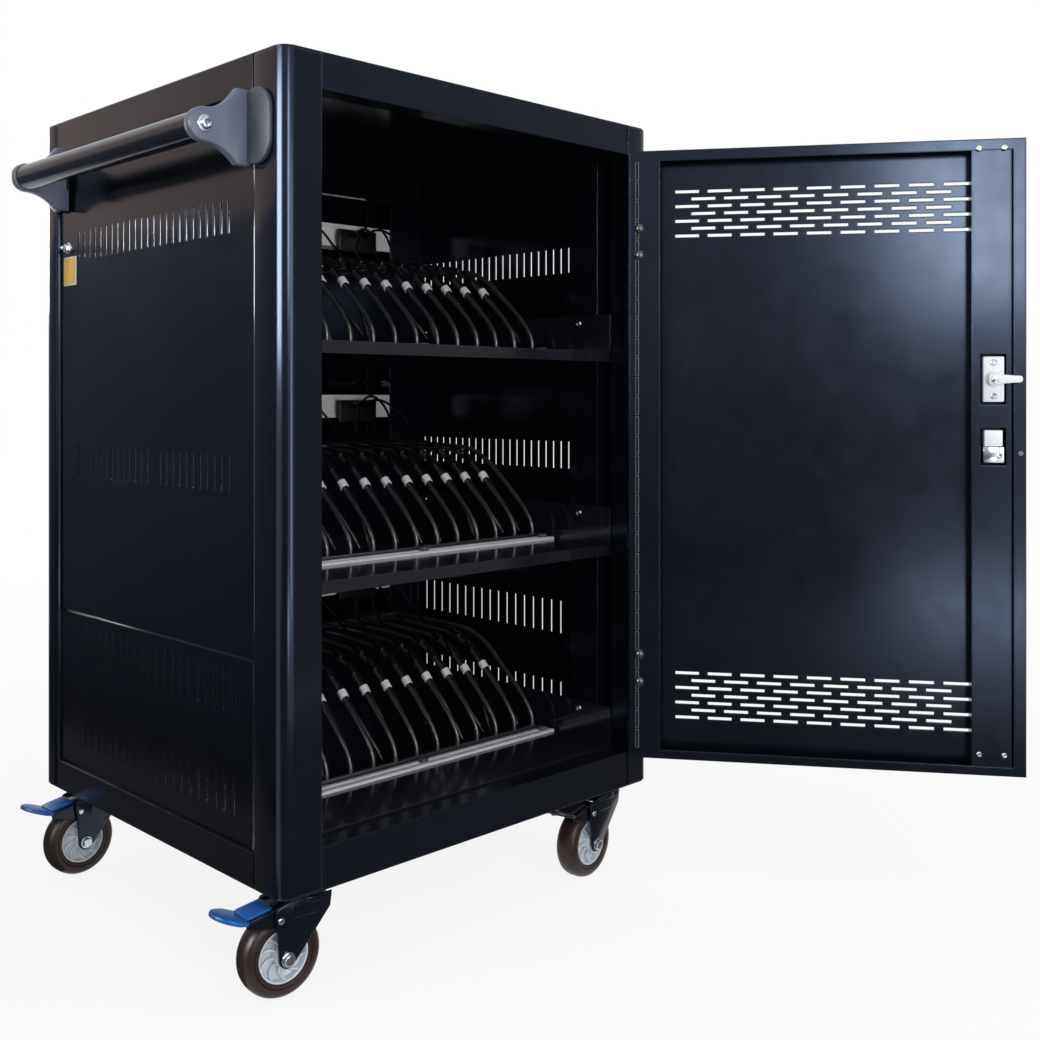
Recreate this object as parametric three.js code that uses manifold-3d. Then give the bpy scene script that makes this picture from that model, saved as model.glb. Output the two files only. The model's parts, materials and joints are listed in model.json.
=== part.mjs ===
// Laptop charging cart: a sheet-steel cabinet on swivel casters, with three shelves of divider wires,
// an inset front door that stands open, a closed rear door and a push handle on the left side.
// Millimetres, +Z up. The cabinet is drawn with X to the right from its left side, Y to the rear from its
// front face and Z up from its underside. The whole cart is then moved so that the middle of its box on
// the floor is the origin.

import * as THREE from 'three';
import { mergeVertices } from 'three/addons/utils/BufferGeometryUtils.js';
import Module from 'manifold-3d';

const wasm = await Module();
wasm.setup();

// Cabinet
const CABINET_WIDTH = 590;
const CABINET_DEPTH = 570;
const CABINET_HEIGHT = 890;
const CORNER_RADIUS = 15;
const CORNER_STEPS = 3;
const SHEET = 1.5;
const PLATE = 2;
const CLEARANCE = 0.3;
const ARC_STEPS = 3;
const ROUND_SIDES = 8;
const PIN_SIDES = 6;

// Front and rear openings
const LATCH_POST_WIDTH = 49;
const HINGE_POST_WIDTH = 40;
const REAR_POST_WIDTH = 45;
const FRONT_POST_DEPTH = 57;
const REAR_POST_DEPTH = 35;
const SILL_HEIGHT = 46;
const HEADER_HEIGHT = 40;
const JAMB_DEPTH = 28;
const STOP_LIP = 15;
const SHELF_FLANGE = 53;
const SIDE_SKIRT_HEIGHT = 38;
const SIDE_RECESS = 4;
const FRONT_OPENING = CABINET_WIDTH - LATCH_POST_WIDTH - HINGE_POST_WIDTH;

// Vents in the sides: slots are upright, in rows
const SIDE_SLOT_WIDTH = 3;
const SIDE_SLOT_PITCH = 15.3;
const SIDE_SLOTS_FROM = 110;
const SIDE_SLOT_COUNT = 25;
const UPPER_VENT_BELOW_TOP = 186;
const UPPER_VENT_HEIGHT = 36;
const MIDDLE_VENT_Z = 420;
const MIDDLE_VENT_HEIGHT = 39;
const MIDDLE_VENT_BLANK = 11;
const COVER_TOP = 242;
const COVER_SLOT_PITCH = 18.8;
const COVER_SLOT_COUNT = 20;
const COVER_SLOTS_FROM = 100;
const COVER_UPPER_VENT_Z = 179;
const COVER_UPPER_VENT_HEIGHT = 47;
const COVER_LOWER_VENT_Z = 68;
const COVER_LOWER_VENT_HEIGHT = 40;

// Shelves and what stands on them
const SHELF_TOPS = { lower: 49, middle: 322, upper: 586 };
const SHELF_INSET = 40;
const SHELF_FRONT = 31;
const SHELF_LIP = 14;
const SHELF_SIDE_HEIGHT = 51;
const RAIL_FRONT = 131;
const RAIL_DEPTH = 20;
const RAIL_THICKNESS = 3.5;
const RAIL_GROOVE = 1;
const RAIL_END_GAP = 6;
const WIRE_COUNT = 14;
const WIRE_DIAMETER = 6.5;
const WIRE_FIRST = 63;
const WIRE_LAST_INSET = 62.9;
const WIRE_PITCH = (CABINET_WIDTH - WIRE_FIRST - WIRE_LAST_INSET) / (WIRE_COUNT - 1);
const WIRE_SIDES = 5;
const WIRE_FOOT = 160;
const FOOT_BAR = 7;
const WIRE_RISE = 127;
// Side view of one wire's front slope: distance to the rear of its foot and height above the shelf
const WIRE_SLOPE = [[0, 3], [1, 20], [36, 61], [94, 108], [132, 124]];
const WIRE_CREST = 165;

// Partition and power strips
const PARTITION_FRONT = 470;
const WINDOW_WIDTH = 444;
const WINDOW_SILL = 135;
const WINDOW_TOP = 250;
const STRIP_END_GAP = 12;
const STRIP_LENGTH = WINDOW_WIDTH - 2 * STRIP_END_GAP;
const STRIP_HEIGHT = 35;
const STRIP_DEPTH = 38;
const STRIP_RISE = 170;
const STRIP_SOCKETS = 6;
const SOCKET_WIDTH = 34;
const SOCKET_HEIGHT = 24;
const SOCKET_RECESS = 5;

// Doors
const DOOR_GAP = 2;
const DOOR_THICKNESS = 25;
const KNUCKLE_RADIUS = 4;
const HINGE_PIN_RADIUS = 1.7;
const HINGE_LEAF = 1;
const HINGE_LEAF_WIDTH = 18;
const KNUCKLES = 4;
const FRONT_DOOR_OPEN = 125;
const HINGE_FLANGE = 41;
const TOP_FLANGE = 14;
const BOTTOM_FLANGE = 11.5;
const FREE_FLANGE = 15;
const DOOR_SLOT_LENGTH = 31;
const DOOR_SLOT_HEIGHT = 3.8;
const DOOR_ROW_PITCH = 9.8;
const DOOR_SLOTS_FROM = 61;
const DOOR_SLOTS_END_INSET = 67.4;
const DOOR_SLOTS_IN_ROW = 9;
const DOOR_SLOTS_SPAN = FRONT_OPENING - DOOR_SLOTS_FROM - DOOR_SLOTS_END_INSET - DOOR_SLOT_LENGTH;
const DOOR_SLOT_PITCH = DOOR_SLOTS_SPAN / (DOOR_SLOTS_IN_ROW - 1);
const FRONT_VENT_ROWS = 7;
const REAR_VENT_ROWS = 2;
const UPPER_BAND_BELOW_TOP = 154;
const LOWER_BAND_Z = 96;

// Lock
const CHANNEL_INSET = 68;
const CHANNEL_FROM = FRONT_OPENING - CHANNEL_INSET;
const CHANNEL_WIDTH = 48;
const LOCK_INSET = 42;
const LOCK_S = FRONT_OPENING - LOCK_INSET;
const LOCK_Z = 546;
const CASE_WIDTH = 25;
const CASE_HEIGHT = 57;
const CASE_PROUD = 3;
const CUT_MARGIN = 3;
const BLOCK_WIDTH = 25;
const BLOCK_HEIGHT = 41;
const BLOCK_Z = 441;
const CAM_LENGTH = 33;
const CAM_WIDTH = 12;
const CAM_HEEL = 8;
const CAM_THICKNESS = 3;
const CAM_BEHIND_DOOR = 6.5;
const SPINDLE_RADIUS = 4;
const ESCUTCHEON_WIDTH = 34;
const ESCUTCHEON_ABOVE = 30;
const ESCUTCHEON_BELOW = 125;
const ESCUTCHEON_THICKNESS = 5;
const LEVER_WIDTH = 24;
const LEVER_THICKNESS = 12;
const LEVER_BELOW = 112;
const PIVOT_BLOCK = 10;
const PIVOT_PIN_RADIUS = 2;
const KEY_LOCK_RADIUS = 9;
const KEY_FLANGE_RADIUS = 13;
const KEY_FLANGE = 3;
const KEY_CAM_LENGTH = 48;

// Push handle
const HANDLE_DIAMETER = 32;
const HANDLE_WALL = 1.5;
const HANDLE_SIDES = 16;
const HANDLE_REACH = 55;
const HANDLE_BELOW_TOP = 83;
const HANDLE_Z = CABINET_HEIGHT - HANDLE_BELOW_TOP;
const BRACKET_FRONT = 60;
const BRACKET_REAR = CABINET_DEPTH - BRACKET_FRONT;
const CHEEK = 12;
const CHEEK_NOSE_RADIUS = 18;
const CHEEK_SHOULDER = 16;
const CHEEK_WAIST = 33;
const CHEEK_BASE_BELOW = 37;
const CHEEK_BASE_ABOVE = 44;
const CHEEK_BASE = [HANDLE_Z - CHEEK_BASE_BELOW, HANDLE_Z + CHEEK_BASE_ABOVE];
const BRACKET_FLANGE = 5;
const BRACKET_FLANGE_REACH = 42;
const BRACKET_FLANGE_RADIUS = 26;

// Mains inlet
const INLET_FROM_REAR = 70;
const INLET_Y = CABINET_DEPTH - INLET_FROM_REAR;
const INLET_Z = 140;
const INLET_WIDTH = 28;
const INLET_HEIGHT = 50;
const INLET_PROUD = 3;
const INLET_DEPTH = 22;
const INLET_BODY_WIDTH = 22;
const INLET_BODY_HEIGHT = 36;
const INLET_WALL = 2;

// Casters
const CASTER_HEIGHT = 118;
const CASTER_INSET_X = 56;
const CASTER_INSET_Y = 43;
const CASTER_TRAIL = 31;
const CASTER_PLATE_LENGTH = 84;
const CASTER_PLATE_WIDTH = 62;
const CASTER_PLATE = 3;
const RACE_RADIUS = 22;
const RACE_HEIGHT = 8;
const CROWN_HEIGHT = 8;
const FORK_WALL = 3;
const FORK_SIDE_GAP = 5;
const CROWN_RADIUS = 24;
const FORK_FRONT = 20;
const FORK_REAR = 26;
const FORK_TOE_RADIUS = 10;
const FORK_TOE_TURN = [-120, -270];
// Rear edge of a fork leg above its axle: height above the floor and place along the trail
const FORK_REAR_EDGE = [[76, 43], [95, 46]];
const WHEEL_RADIUS = 46;
const TREAD_WIDTH = 30;
const TREAD_CROWN = 4;
const TREAD_BEVEL = 2;
const HUB_RADIUS = 29;
const HUB_BOSS_RADIUS = 11;
const HUB_RIM = 4;
const HUB_WEB = 6;
const HUB_BOSS_PROUD = 1;
const AXLE_RADIUS = 5;
const AXLE_HEAD_RADIUS = 7;
const AXLE_HEAD = 5;
const WHEEL_SEGMENTS = 14;
const PEDAL_PIVOT_T = 39;
const PEDAL_PIVOT_Z = 89;
const PEDAL_PIN_RADIUS = 3;
const PEDAL_SKIRT = 2;
const PEDAL_TOP = 102;
const PEDAL_BACK = 34;
const PEDAL_LENGTH = 44;
const PEDAL_PLATE = 3;
// The pedal's plate slopes down to the toe, which rises again, in degrees
const PEDAL_SLOPE = 10;
const TOE_RISE = 20;
// Lower edge of the pedal's skirt: height above the floor and place along the trail
const PEDAL_SKIRT_LOW = [[87, 76], [80, 48], [81, 35], [93, 32]];
const TOE_OVERLAP = 4;
const TOE_NECK = 10;
const TOE_LENGTH = 32;
const TOE_FLARE = 4;
const TOE_THICKNESS = 5;
const PAD_SPAN = [11, 40];
const PAD_WIDTH = 29;
const PAD_RISE = 3;

// Where each caster points at rest, as degrees of its trail about +Z
const CASTERS = {
  front_left: { right: false, rear: false, trail: 173.5, pedal: 0x0b4a8f },
  front_right: { right: true, rear: false, trail: 186.5, pedal: 0x17191d },
  rear_left: { right: false, rear: true, trail: 182, pedal: 0x0b4a8f },
  rear_right: { right: true, rear: true, trail: 175, pedal: 0x17191d },
};

const finish = (color, roughness, metalness) => (
  new THREE.MeshStandardMaterial({ color, roughness, metalness })
);
const BLACK_PAINT = finish(0x1a1d24, 0.35, 0.1);
const DOOR_PAINT = finish(0x171a22, 0.4, 0.1);
const BLACK_WIRE = finish(0x0c0d10, 0.3, 0.1);
const BLACK_PLASTIC = finish(0x20242c, 0.45, 0);
const RAIL_METAL = finish(0xb9bcc0, 0.35, 0.9);
const ZINC = finish(0xb8c2cc, 0.3, 0.95);
const LOCK_WHITE = finish(0xeceff3, 0.35, 0);
const STRIP_WHITE = finish(0xe6e8ea, 0.4, 0);
const TYRE_BROWN = finish(0x4a3f42, 0.6, 0);
const HUB_GREY = finish(0x9aa5b0, 0.5, 0);

// Solids

/** A closed manifold from a three.js geometry, or from several closed shapes in one geometry. */
function solid(geometry) {
  const plain = geometry.clone();
  plain.deleteAttribute('normal');
  plain.deleteAttribute('uv');
  const merged = mergeVertices(plain, 1e-4);
  const vertProperties = new Float32Array(merged.attributes.position.array);
  const triVerts = new Uint32Array(merged.index.array);
  return new wasm.Manifold(new wasm.Mesh({ numProp: 3, vertProperties, triVerts }));
}

/** The three.js geometry of a manifold. */
function geometryOf(manifold) {
  const mesh = manifold.getMesh();
  const geometry = new THREE.BufferGeometry();
  geometry.setAttribute('position', new THREE.BufferAttribute(new Float32Array(mesh.vertProperties), 3));
  geometry.setIndex(new THREE.BufferAttribute(new Uint32Array(mesh.triVerts), 1));
  return geometry;
}

const join = (first, ...others) => others.reduce((whole, other) => whole.add(other), first);
const cut = (first, ...tools) => tools.reduce((whole, tool) => whole.subtract(tool), first);

/** A block between two limits on each axis. */
function block([x0, x1], [y0, y1], [z0, z1]) {
  const geometry = new THREE.BoxGeometry(x1 - x0, y1 - y0, z1 - z0);
  return solid(geometry.translate((x0 + x1) / 2, (y0 + y1) / 2, (z0 + z1) / 2));
}

const AXES = {
  x: [new THREE.Vector3(0, 1, 0), new THREE.Vector3(0, 0, 1), new THREE.Vector3(1, 0, 0)],
  y: [new THREE.Vector3(0, 0, 1), new THREE.Vector3(1, 0, 0), new THREE.Vector3(0, 1, 0)],
  z: [new THREE.Vector3(1, 0, 0), new THREE.Vector3(0, 1, 0), new THREE.Vector3(0, 0, 1)],
};

/** Shapes drawn square to an axis (YZ for x, ZX for y, XY for z), extruded along it between two limits. */
function prism(shapes, axis, [from, to]) {
  const options = { depth: to - from, bevelEnabled: false, curveSegments: ARC_STEPS };
  const geometry = new THREE.ExtrudeGeometry(shapes, options);
  const turn = new THREE.Matrix4().makeBasis(...AXES[axis]);
  return solid(geometry.translate(0, 0, from).applyMatrix4(turn));
}

/** A round bar along an axis, with its centre at a point of the plane square to that axis. */
function bar(axis, [a, b], radius, limits, sides = ROUND_SIDES) {
  const turns = series(sides, Math.PI / sides, (2 * Math.PI) / sides);
  const shape = new THREE.Shape(turns.map((turn) => (
    new THREE.Vector2(a + radius * Math.cos(turn), b + radius * Math.sin(turn))
  )));
  return prism(shape, axis, limits);
}

/** The radius of a many-sided bore in which a bar of that radius turns freely. */
const boreFor = (radius, sides = ROUND_SIDES) => (radius + CLEARANCE) / Math.cos(Math.PI / sides);

/** A rectangle in a drawing plane. */
function rectangle([a0, a1], [b0, b1]) {
  return new THREE.Shape([
    new THREE.Vector2(a0, b0), new THREE.Vector2(a1, b0),
    new THREE.Vector2(a1, b1), new THREE.Vector2(a0, b1),
  ]);
}

/** A rectangle with round corners. */
function roundedRectangle([a0, a1], [b0, b1], radius) {
  const shape = new THREE.Shape();
  shape.absarc(a1 - radius, b1 - radius, radius, 0, Math.PI / 2);
  shape.absarc(a0 + radius, b1 - radius, radius, Math.PI / 2, Math.PI);
  shape.absarc(a0 + radius, b0 + radius, radius, Math.PI, 1.5 * Math.PI);
  shape.absarc(a1 - radius, b0 + radius, radius, 1.5 * Math.PI, 2 * Math.PI);
  return shape;
}

/** Points of a round corner between two headings, in degrees. */
function arcPoints([a, b], radius, fromDegrees, toDegrees, steps) {
  return Array.from({ length: steps + 1 }, (_, i) => {
    const turn = THREE.MathUtils.degToRad(fromDegrees + ((toDegrees - fromDegrees) * i) / steps);
    return [a + radius * Math.cos(turn), b + radius * Math.sin(turn)];
  });
}

/** The section of a folded sheet: a path and its copy offset to the left by the sheet's thickness. */
function foldedSheet(path, thickness) {
  const points = path.map(([a, b]) => new THREE.Vector2(a, b));
  const normals = points.slice(1).map((end, i) => {
    const along = end.clone().sub(points[i]).normalize();
    return new THREE.Vector2(-along.y, along.x);
  });
  const offset = points.map((point, i) => {
    const before = normals[Math.max(i - 1, 0)];
    const after = normals[Math.min(i, normals.length - 1)];
    const middle = before.clone().add(after);
    return point.clone().addScaledVector(middle, thickness / (1 + before.dot(after)));
  });
  return new THREE.Shape([...points, ...offset.reverse()]);
}

/** The two limits of a size about its middle. */
const around = (middle, size, margin = 0) => [middle - size / 2 - margin, middle + size / 2 + margin];

/** Evenly spaced numbers. */
const series = (count, from, step) => Array.from({ length: count }, (_, i) => from + i * step);

const cart = new THREE.Group();
const cabinet = new THREE.Group();
cabinet.position.z = CASTER_HEIGHT;
cart.add(cabinet);

/** Adds a named piece to a group. */
function piece(parent, name, manifold, material) {
  const mesh = new THREE.Mesh(geometryOf(manifold), material);
  mesh.name = name;
  parent.add(mesh);
}

// Cabinet shell

const OPENING_LEFT = LATCH_POST_WIDTH;
const OPENING_RIGHT = CABINET_WIDTH - HINGE_POST_WIDTH;
const OPENING_HIGH = CABINET_HEIGHT - HEADER_HEIGHT;
const REAR_LEFT = REAR_POST_WIDTH;
const REAR_RIGHT = CABINET_WIDTH - REAR_POST_WIDTH;
const SIDE_FROM = FRONT_POST_DEPTH;
const SIDE_TO = CABINET_DEPTH - REAR_POST_DEPTH;
const SHELL_TOP = CABINET_HEIGHT - PLATE;
const SIDE_INNER = SIDE_RECESS + SHEET;
const PARTITION_REAR = PARTITION_FRONT + SHEET;

/** The section of a corner post, drawn for the front left corner and mirrored to the others. */
function postSection({ width, depth, flange, lip }, mirrorX, mirrorY) {
  const flangeX = SHELF_INSET - SHEET;
  const path = [
    [flangeX, depth + flange], [flangeX, depth], [0, depth],
    ...arcPoints([CORNER_RADIUS, CORNER_RADIUS], CORNER_RADIUS, 180, 270, CORNER_STEPS),
    [width, 0], [width, JAMB_DEPTH], ...lip,
  ];
  const placed = path.map(([x, y]) => [mirrorX ? CABINET_WIDTH - x : x, mirrorY ? CABINET_DEPTH - y : y]);
  return foldedSheet(mirrorX === mirrorY ? placed : placed.reverse(), SHEET);
}

function buildPosts() {
  const frontPost = { depth: FRONT_POST_DEPTH, flange: SHELF_FLANGE, lip: [] };
  const stop = [[LATCH_POST_WIDTH + STOP_LIP, JAMB_DEPTH]];
  const latchPost = { ...frontPost, width: LATCH_POST_WIDTH, lip: stop };
  const hingePost = { ...frontPost, width: HINGE_POST_WIDTH };
  const rearFlange = SIDE_TO - PARTITION_REAR;
  const rearPost = { width: REAR_POST_WIDTH, depth: REAR_POST_DEPTH, flange: rearFlange, lip: [] };
  const posts = {
    front_left_post: postSection(latchPost, false, false),
    front_right_post: postSection(hingePost, true, false),
    rear_left_post: postSection(rearPost, false, true),
    rear_right_post: postSection(rearPost, true, true),
  };
  for (const [name, section] of Object.entries(posts)) {
    piece(cabinet, name, prism(section, 'z', [PLATE, SHELL_TOP]), BLACK_PAINT);
  }
}

/** A plate of the cabinet's outline with a folded rim between the posts, toward the inside of the cabinet. */
function rimmedPlate([plateFrom, plateTo], [endLow, endHigh], endFold, [sideLow, sideHigh], sideFold) {
  const outline = roundedRectangle([0, CABINET_WIDTH], [0, CABINET_DEPTH], CORNER_RADIUS);
  const front = [OPENING_LEFT, OPENING_RIGHT];
  const rear = [REAR_LEFT, REAR_RIGHT];
  const side = [SIDE_FROM, SIDE_TO];
  const right = CABINET_WIDTH;
  const back = CABINET_DEPTH;
  return join(
    prism(outline, 'z', [plateFrom, plateTo]),
    block(front, [0, SHEET], [endLow, endHigh]),
    block(front, [0, JAMB_DEPTH], endFold),
    block(rear, [back - SHEET, back], [endLow, endHigh]),
    block(rear, [back - JAMB_DEPTH, back], endFold),
    block([0, SHEET], side, [sideLow, sideHigh]),
    block([0, SIDE_INNER], side, sideFold),
    block([right - SHEET, right], side, [sideLow, sideHigh]),
    block([right - SIDE_INNER, right], side, sideFold),
  );
}

function buildShell() {
  const sill = [0, SILL_HEIGHT];
  const skirt = [0, SIDE_SKIRT_HEIGHT];
  const sillFold = [SILL_HEIGHT - SHEET, SILL_HEIGHT];
  const skirtFold = [SIDE_SKIRT_HEIGHT - SHEET, SIDE_SKIRT_HEIGHT];
  piece(cabinet, 'base_pan', rimmedPlate([0, PLATE], sill, sillFold, skirt, skirtFold), BLACK_PAINT);
  const header = [OPENING_HIGH, CABINET_HEIGHT];
  const headerFold = [OPENING_HIGH, OPENING_HIGH + SHEET];
  piece(
    cabinet, 'top_cover', rimmedPlate([SHELL_TOP, CABINET_HEIGHT], header, headerFold, header, headerFold),
    BLACK_PAINT,
  );
}

/** Upright slots in a row: rectangles in a YZ drawing. */
function slotRow(starts, low, height) {
  return starts.map((y) => rectangle([y, y + SIDE_SLOT_WIDTH], [low, low + height]));
}

/** A flat sheet in the side of the cabinet, with openings through it. */
function sideSheet(low, high, openings, right) {
  const outer = right ? CABINET_WIDTH - SIDE_INNER : SIDE_RECESS;
  const sheet = block([outer, outer + SHEET], [SIDE_FROM, SIDE_TO], [low, high]);
  return cut(sheet, prism(openings, 'x', [outer - SHEET, outer + 2 * SHEET]));
}

function buildSides() {
  const starts = series(SIDE_SLOT_COUNT, SIDE_SLOTS_FROM, SIDE_SLOT_PITCH);
  const middleStarts = { left: starts.filter((_, i) => i !== MIDDLE_VENT_BLANK), right: starts };
  const coverStarts = series(COVER_SLOT_COUNT, COVER_SLOTS_FROM, COVER_SLOT_PITCH);
  const upperVents = slotRow(starts, CABINET_HEIGHT - UPPER_VENT_BELOW_TOP, UPPER_VENT_HEIGHT);
  const coverVents = [
    ...slotRow(coverStarts, COVER_UPPER_VENT_Z, COVER_UPPER_VENT_HEIGHT),
    ...slotRow(coverStarts, COVER_LOWER_VENT_Z, COVER_LOWER_VENT_HEIGHT),
  ];
  const inletHole = rectangle(
    [INLET_Y - INLET_BODY_WIDTH / 2 - CLEARANCE, INLET_Y + INLET_BODY_WIDTH / 2 + CLEARANCE],
    [INLET_Z - INLET_BODY_HEIGHT / 2 - CLEARANCE, INLET_Z + INLET_BODY_HEIGHT / 2 + CLEARANCE],
  );
  for (const side of ['left', 'right']) {
    const right = side === 'right';
    const panelVents = [...upperVents, ...slotRow(middleStarts[side], MIDDLE_VENT_Z, MIDDLE_VENT_HEIGHT)];
    const coverOpenings = right ? [...coverVents, inletHole] : coverVents;
    const cover = sideSheet(SIDE_SKIRT_HEIGHT, COVER_TOP, coverOpenings, right);
    piece(cabinet, `${side}_side_panel`, sideSheet(COVER_TOP, OPENING_HIGH, panelVents, right), BLACK_PAINT);
    piece(cabinet, `${side}_service_cover`, cover, BLACK_PAINT);
  }
}

/** The mains inlet: a flange on the right service cover and a body behind it with the socket's recess. */
function buildInlet() {
  const face = CABINET_WIDTH - SIDE_RECESS;
  const recessWidth = INLET_BODY_WIDTH - 2 * INLET_WALL;
  const recessHeight = INLET_BODY_HEIGHT - 2 * INLET_WALL;
  const inlet = cut(
    join(
      block([face, face + INLET_PROUD], around(INLET_Y, INLET_WIDTH), around(INLET_Z, INLET_HEIGHT)),
      block(
        [face - INLET_DEPTH, face + INLET_PROUD],
        around(INLET_Y, INLET_BODY_WIDTH), around(INLET_Z, INLET_BODY_HEIGHT),
      ),
    ),
    block(
      [face - INLET_DEPTH + INLET_WALL, face + 2 * INLET_PROUD],
      around(INLET_Y, recessWidth), around(INLET_Z, recessHeight),
    ),
  );
  piece(cabinet, 'power_inlet', inlet, BLACK_PLASTIC);
}

function buildPartition() {
  const window = around(CABINET_WIDTH / 2, WINDOW_WIDTH);
  const windows = Object.values(SHELF_TOPS).map((top) => (
    rectangle([top + WINDOW_SILL, top + WINDOW_TOP], window)
  ));
  const across = [SIDE_INNER, CABINET_WIDTH - SIDE_INNER];
  const sheet = block(across, [PARTITION_FRONT, PARTITION_REAR], [PLATE, SHELL_TOP]);
  const partition = cut(sheet, prism(windows, 'y', [PARTITION_FRONT - SHEET, PARTITION_REAR + SHEET]));
  piece(cabinet, 'rear_partition', partition, BLACK_PAINT);
}

// Shelves, rails, divider wires and power strips

/** A shelf tray: a floor with a turned-down front lip and turned-up sides. */
function shelfTray(top) {
  const across = [SHELF_INSET, CABINET_WIDTH - SHELF_INSET];
  const along = [SHELF_FRONT, PARTITION_FRONT];
  const upright = [top - SHEET, top + SHELF_SIDE_HEIGHT];
  return join(
    block(across, along, [top - SHEET, top]),
    block(across, [SHELF_FRONT, SHELF_FRONT + SHEET], [top - SHELF_LIP, top]),
    block([across[0], across[0] + SHEET], along, upright),
    block([across[1] - SHEET, across[1]], along, upright),
  );
}

/** An extruded strip with a groove along it, which lies across the shelf in front of the wires. */
function dividerRail(top) {
  const inset = SHELF_INSET + SHEET + RAIL_END_GAP;
  const ends = [inset, CABINET_WIDTH - inset];
  const rear = RAIL_FRONT + RAIL_DEPTH;
  const groove = [RAIL_FRONT + RAIL_DEPTH / 3, rear - RAIL_DEPTH / 3];
  const strip = block(ends, [RAIL_FRONT, rear], [top, top + RAIL_THICKNESS]);
  const grooveHeight = [top + RAIL_THICKNESS - RAIL_GROOVE, top + 2 * RAIL_THICKNESS];
  return cut(strip, block([0, CABINET_WIDTH], groove, grooveHeight));
}

/** A curve that is stepped from one of its points to the next. */
class PointedCurve extends THREE.CatmullRomCurve3 {
  getUtoTmapping(u) {
    return u;
  }
}

/** One divider wire: a tube with few sides, up from the shelf and back to the partition. */
function dividerWire(x, top, rear) {
  const route = [...WIRE_SLOPE, [WIRE_CREST, WIRE_RISE], [rear - WIRE_FOOT, WIRE_RISE]];
  const points = route.map(([back, rise]) => new THREE.Vector3(x, WIRE_FOOT + back, top + rise));
  const section = new THREE.Shape(series(WIRE_SIDES, 0, (2 * Math.PI) / WIRE_SIDES).map((turn) => (
    new THREE.Vector2((WIRE_DIAMETER / 2) * Math.cos(turn), (WIRE_DIAMETER / 2) * Math.sin(turn))
  )));
  const extrudePath = new PointedCurve(points);
  return solid(new THREE.ExtrudeGeometry(section, { steps: route.length - 1, extrudePath }));
}

/** The wires of one shelf, welded to a foot bar on the shelf and a rear bar on the partition. */
function dividerWires(top) {
  const places = series(WIRE_COUNT, WIRE_FIRST, WIRE_PITCH);
  const ends = [places[0] - FOOT_BAR, places[WIRE_COUNT - 1] + FOOT_BAR];
  const rear = PARTITION_FRONT - FOOT_BAR / 2;
  return join(
    block(ends, around(WIRE_FOOT, FOOT_BAR), [top, top + FOOT_BAR]),
    block(ends, around(rear, FOOT_BAR), around(top + WIRE_RISE, FOOT_BAR)),
    ...places.map((x) => dividerWire(x, top, rear)),
  );
}

/** A power strip behind its window. An ear at each end holds it to the partition, half way to the post. */
function powerStrip(top) {
  const middle = CABINET_WIDTH / 2;
  const height = [top + STRIP_RISE, top + STRIP_RISE + STRIP_HEIGHT];
  const centre = (height[0] + height[1]) / 2;
  const body = [middle - STRIP_LENGTH / 2, middle + STRIP_LENGTH / 2];
  const ears = around(middle, WINDOW_WIDTH / 2 + CABINET_WIDTH / 2 - SHELF_INSET);
  const pitch = STRIP_LENGTH / STRIP_SOCKETS;
  const sockets = series(STRIP_SOCKETS, body[0] + pitch / 2, pitch).map((x) => rectangle(
    [centre - SOCKET_HEIGHT / 2, centre + SOCKET_HEIGHT / 2], [x - SOCKET_WIDTH / 2, x + SOCKET_WIDTH / 2],
  ));
  return cut(
    join(
      block(body, [PARTITION_REAR, PARTITION_REAR + STRIP_DEPTH], height),
      block(ears, [PARTITION_REAR, PARTITION_REAR + PLATE], height),
    ),
    prism(sockets, 'y', [PARTITION_FRONT, PARTITION_REAR + SOCKET_RECESS]),
  );
}

function buildShelves() {
  for (const [level, top] of Object.entries(SHELF_TOPS)) {
    piece(cabinet, `${level}_shelf`, shelfTray(top), BLACK_PAINT);
    piece(cabinet, `${level}_divider_rail`, dividerRail(top), RAIL_METAL);
    piece(cabinet, `${level}_divider_wires`, dividerWires(top), BLACK_WIRE);
    piece(cabinet, `${level}_power_strip`, powerStrip(top), STRIP_WHITE);
  }
}

// Push handle

/** A handle bracket: a fan-shaped cheek that narrows to the tube, on a round-ended flange on the cabinet. */
function handleBracket(cheekFrom, flangeFar) {
  const [noseLow, noseHigh] = around(HANDLE_Z, 2 * CHEEK_NOSE_RADIUS);
  const nose = new THREE.Shape();
  nose.moveTo(CHEEK_BASE[1], 0);
  nose.lineTo(CHEEK_BASE[0], 0);
  nose.lineTo(CHEEK_BASE[0], -CHEEK_SHOULDER);
  nose.quadraticCurveTo(noseLow, -CHEEK_WAIST, noseLow, -HANDLE_REACH);
  nose.absarc(HANDLE_Z, -HANDLE_REACH, CHEEK_NOSE_RADIUS, Math.PI, 2 * Math.PI, false);
  nose.quadraticCurveTo(noseHigh, -CHEEK_WAIST, CHEEK_BASE[1], -CHEEK_SHOULDER);
  const near = flangeFar < cheekFrom ? cheekFrom + CHEEK : cheekFrom;
  const flange = roundedRectangle(
    [Math.min(near, flangeFar), Math.max(near, flangeFar)], CHEEK_BASE, BRACKET_FLANGE_RADIUS,
  );
  return join(
    prism(nose, 'y', [cheekFrom, cheekFrom + CHEEK]),
    prism(flange, 'x', [-BRACKET_FLANGE, 0]),
  );
}

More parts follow.
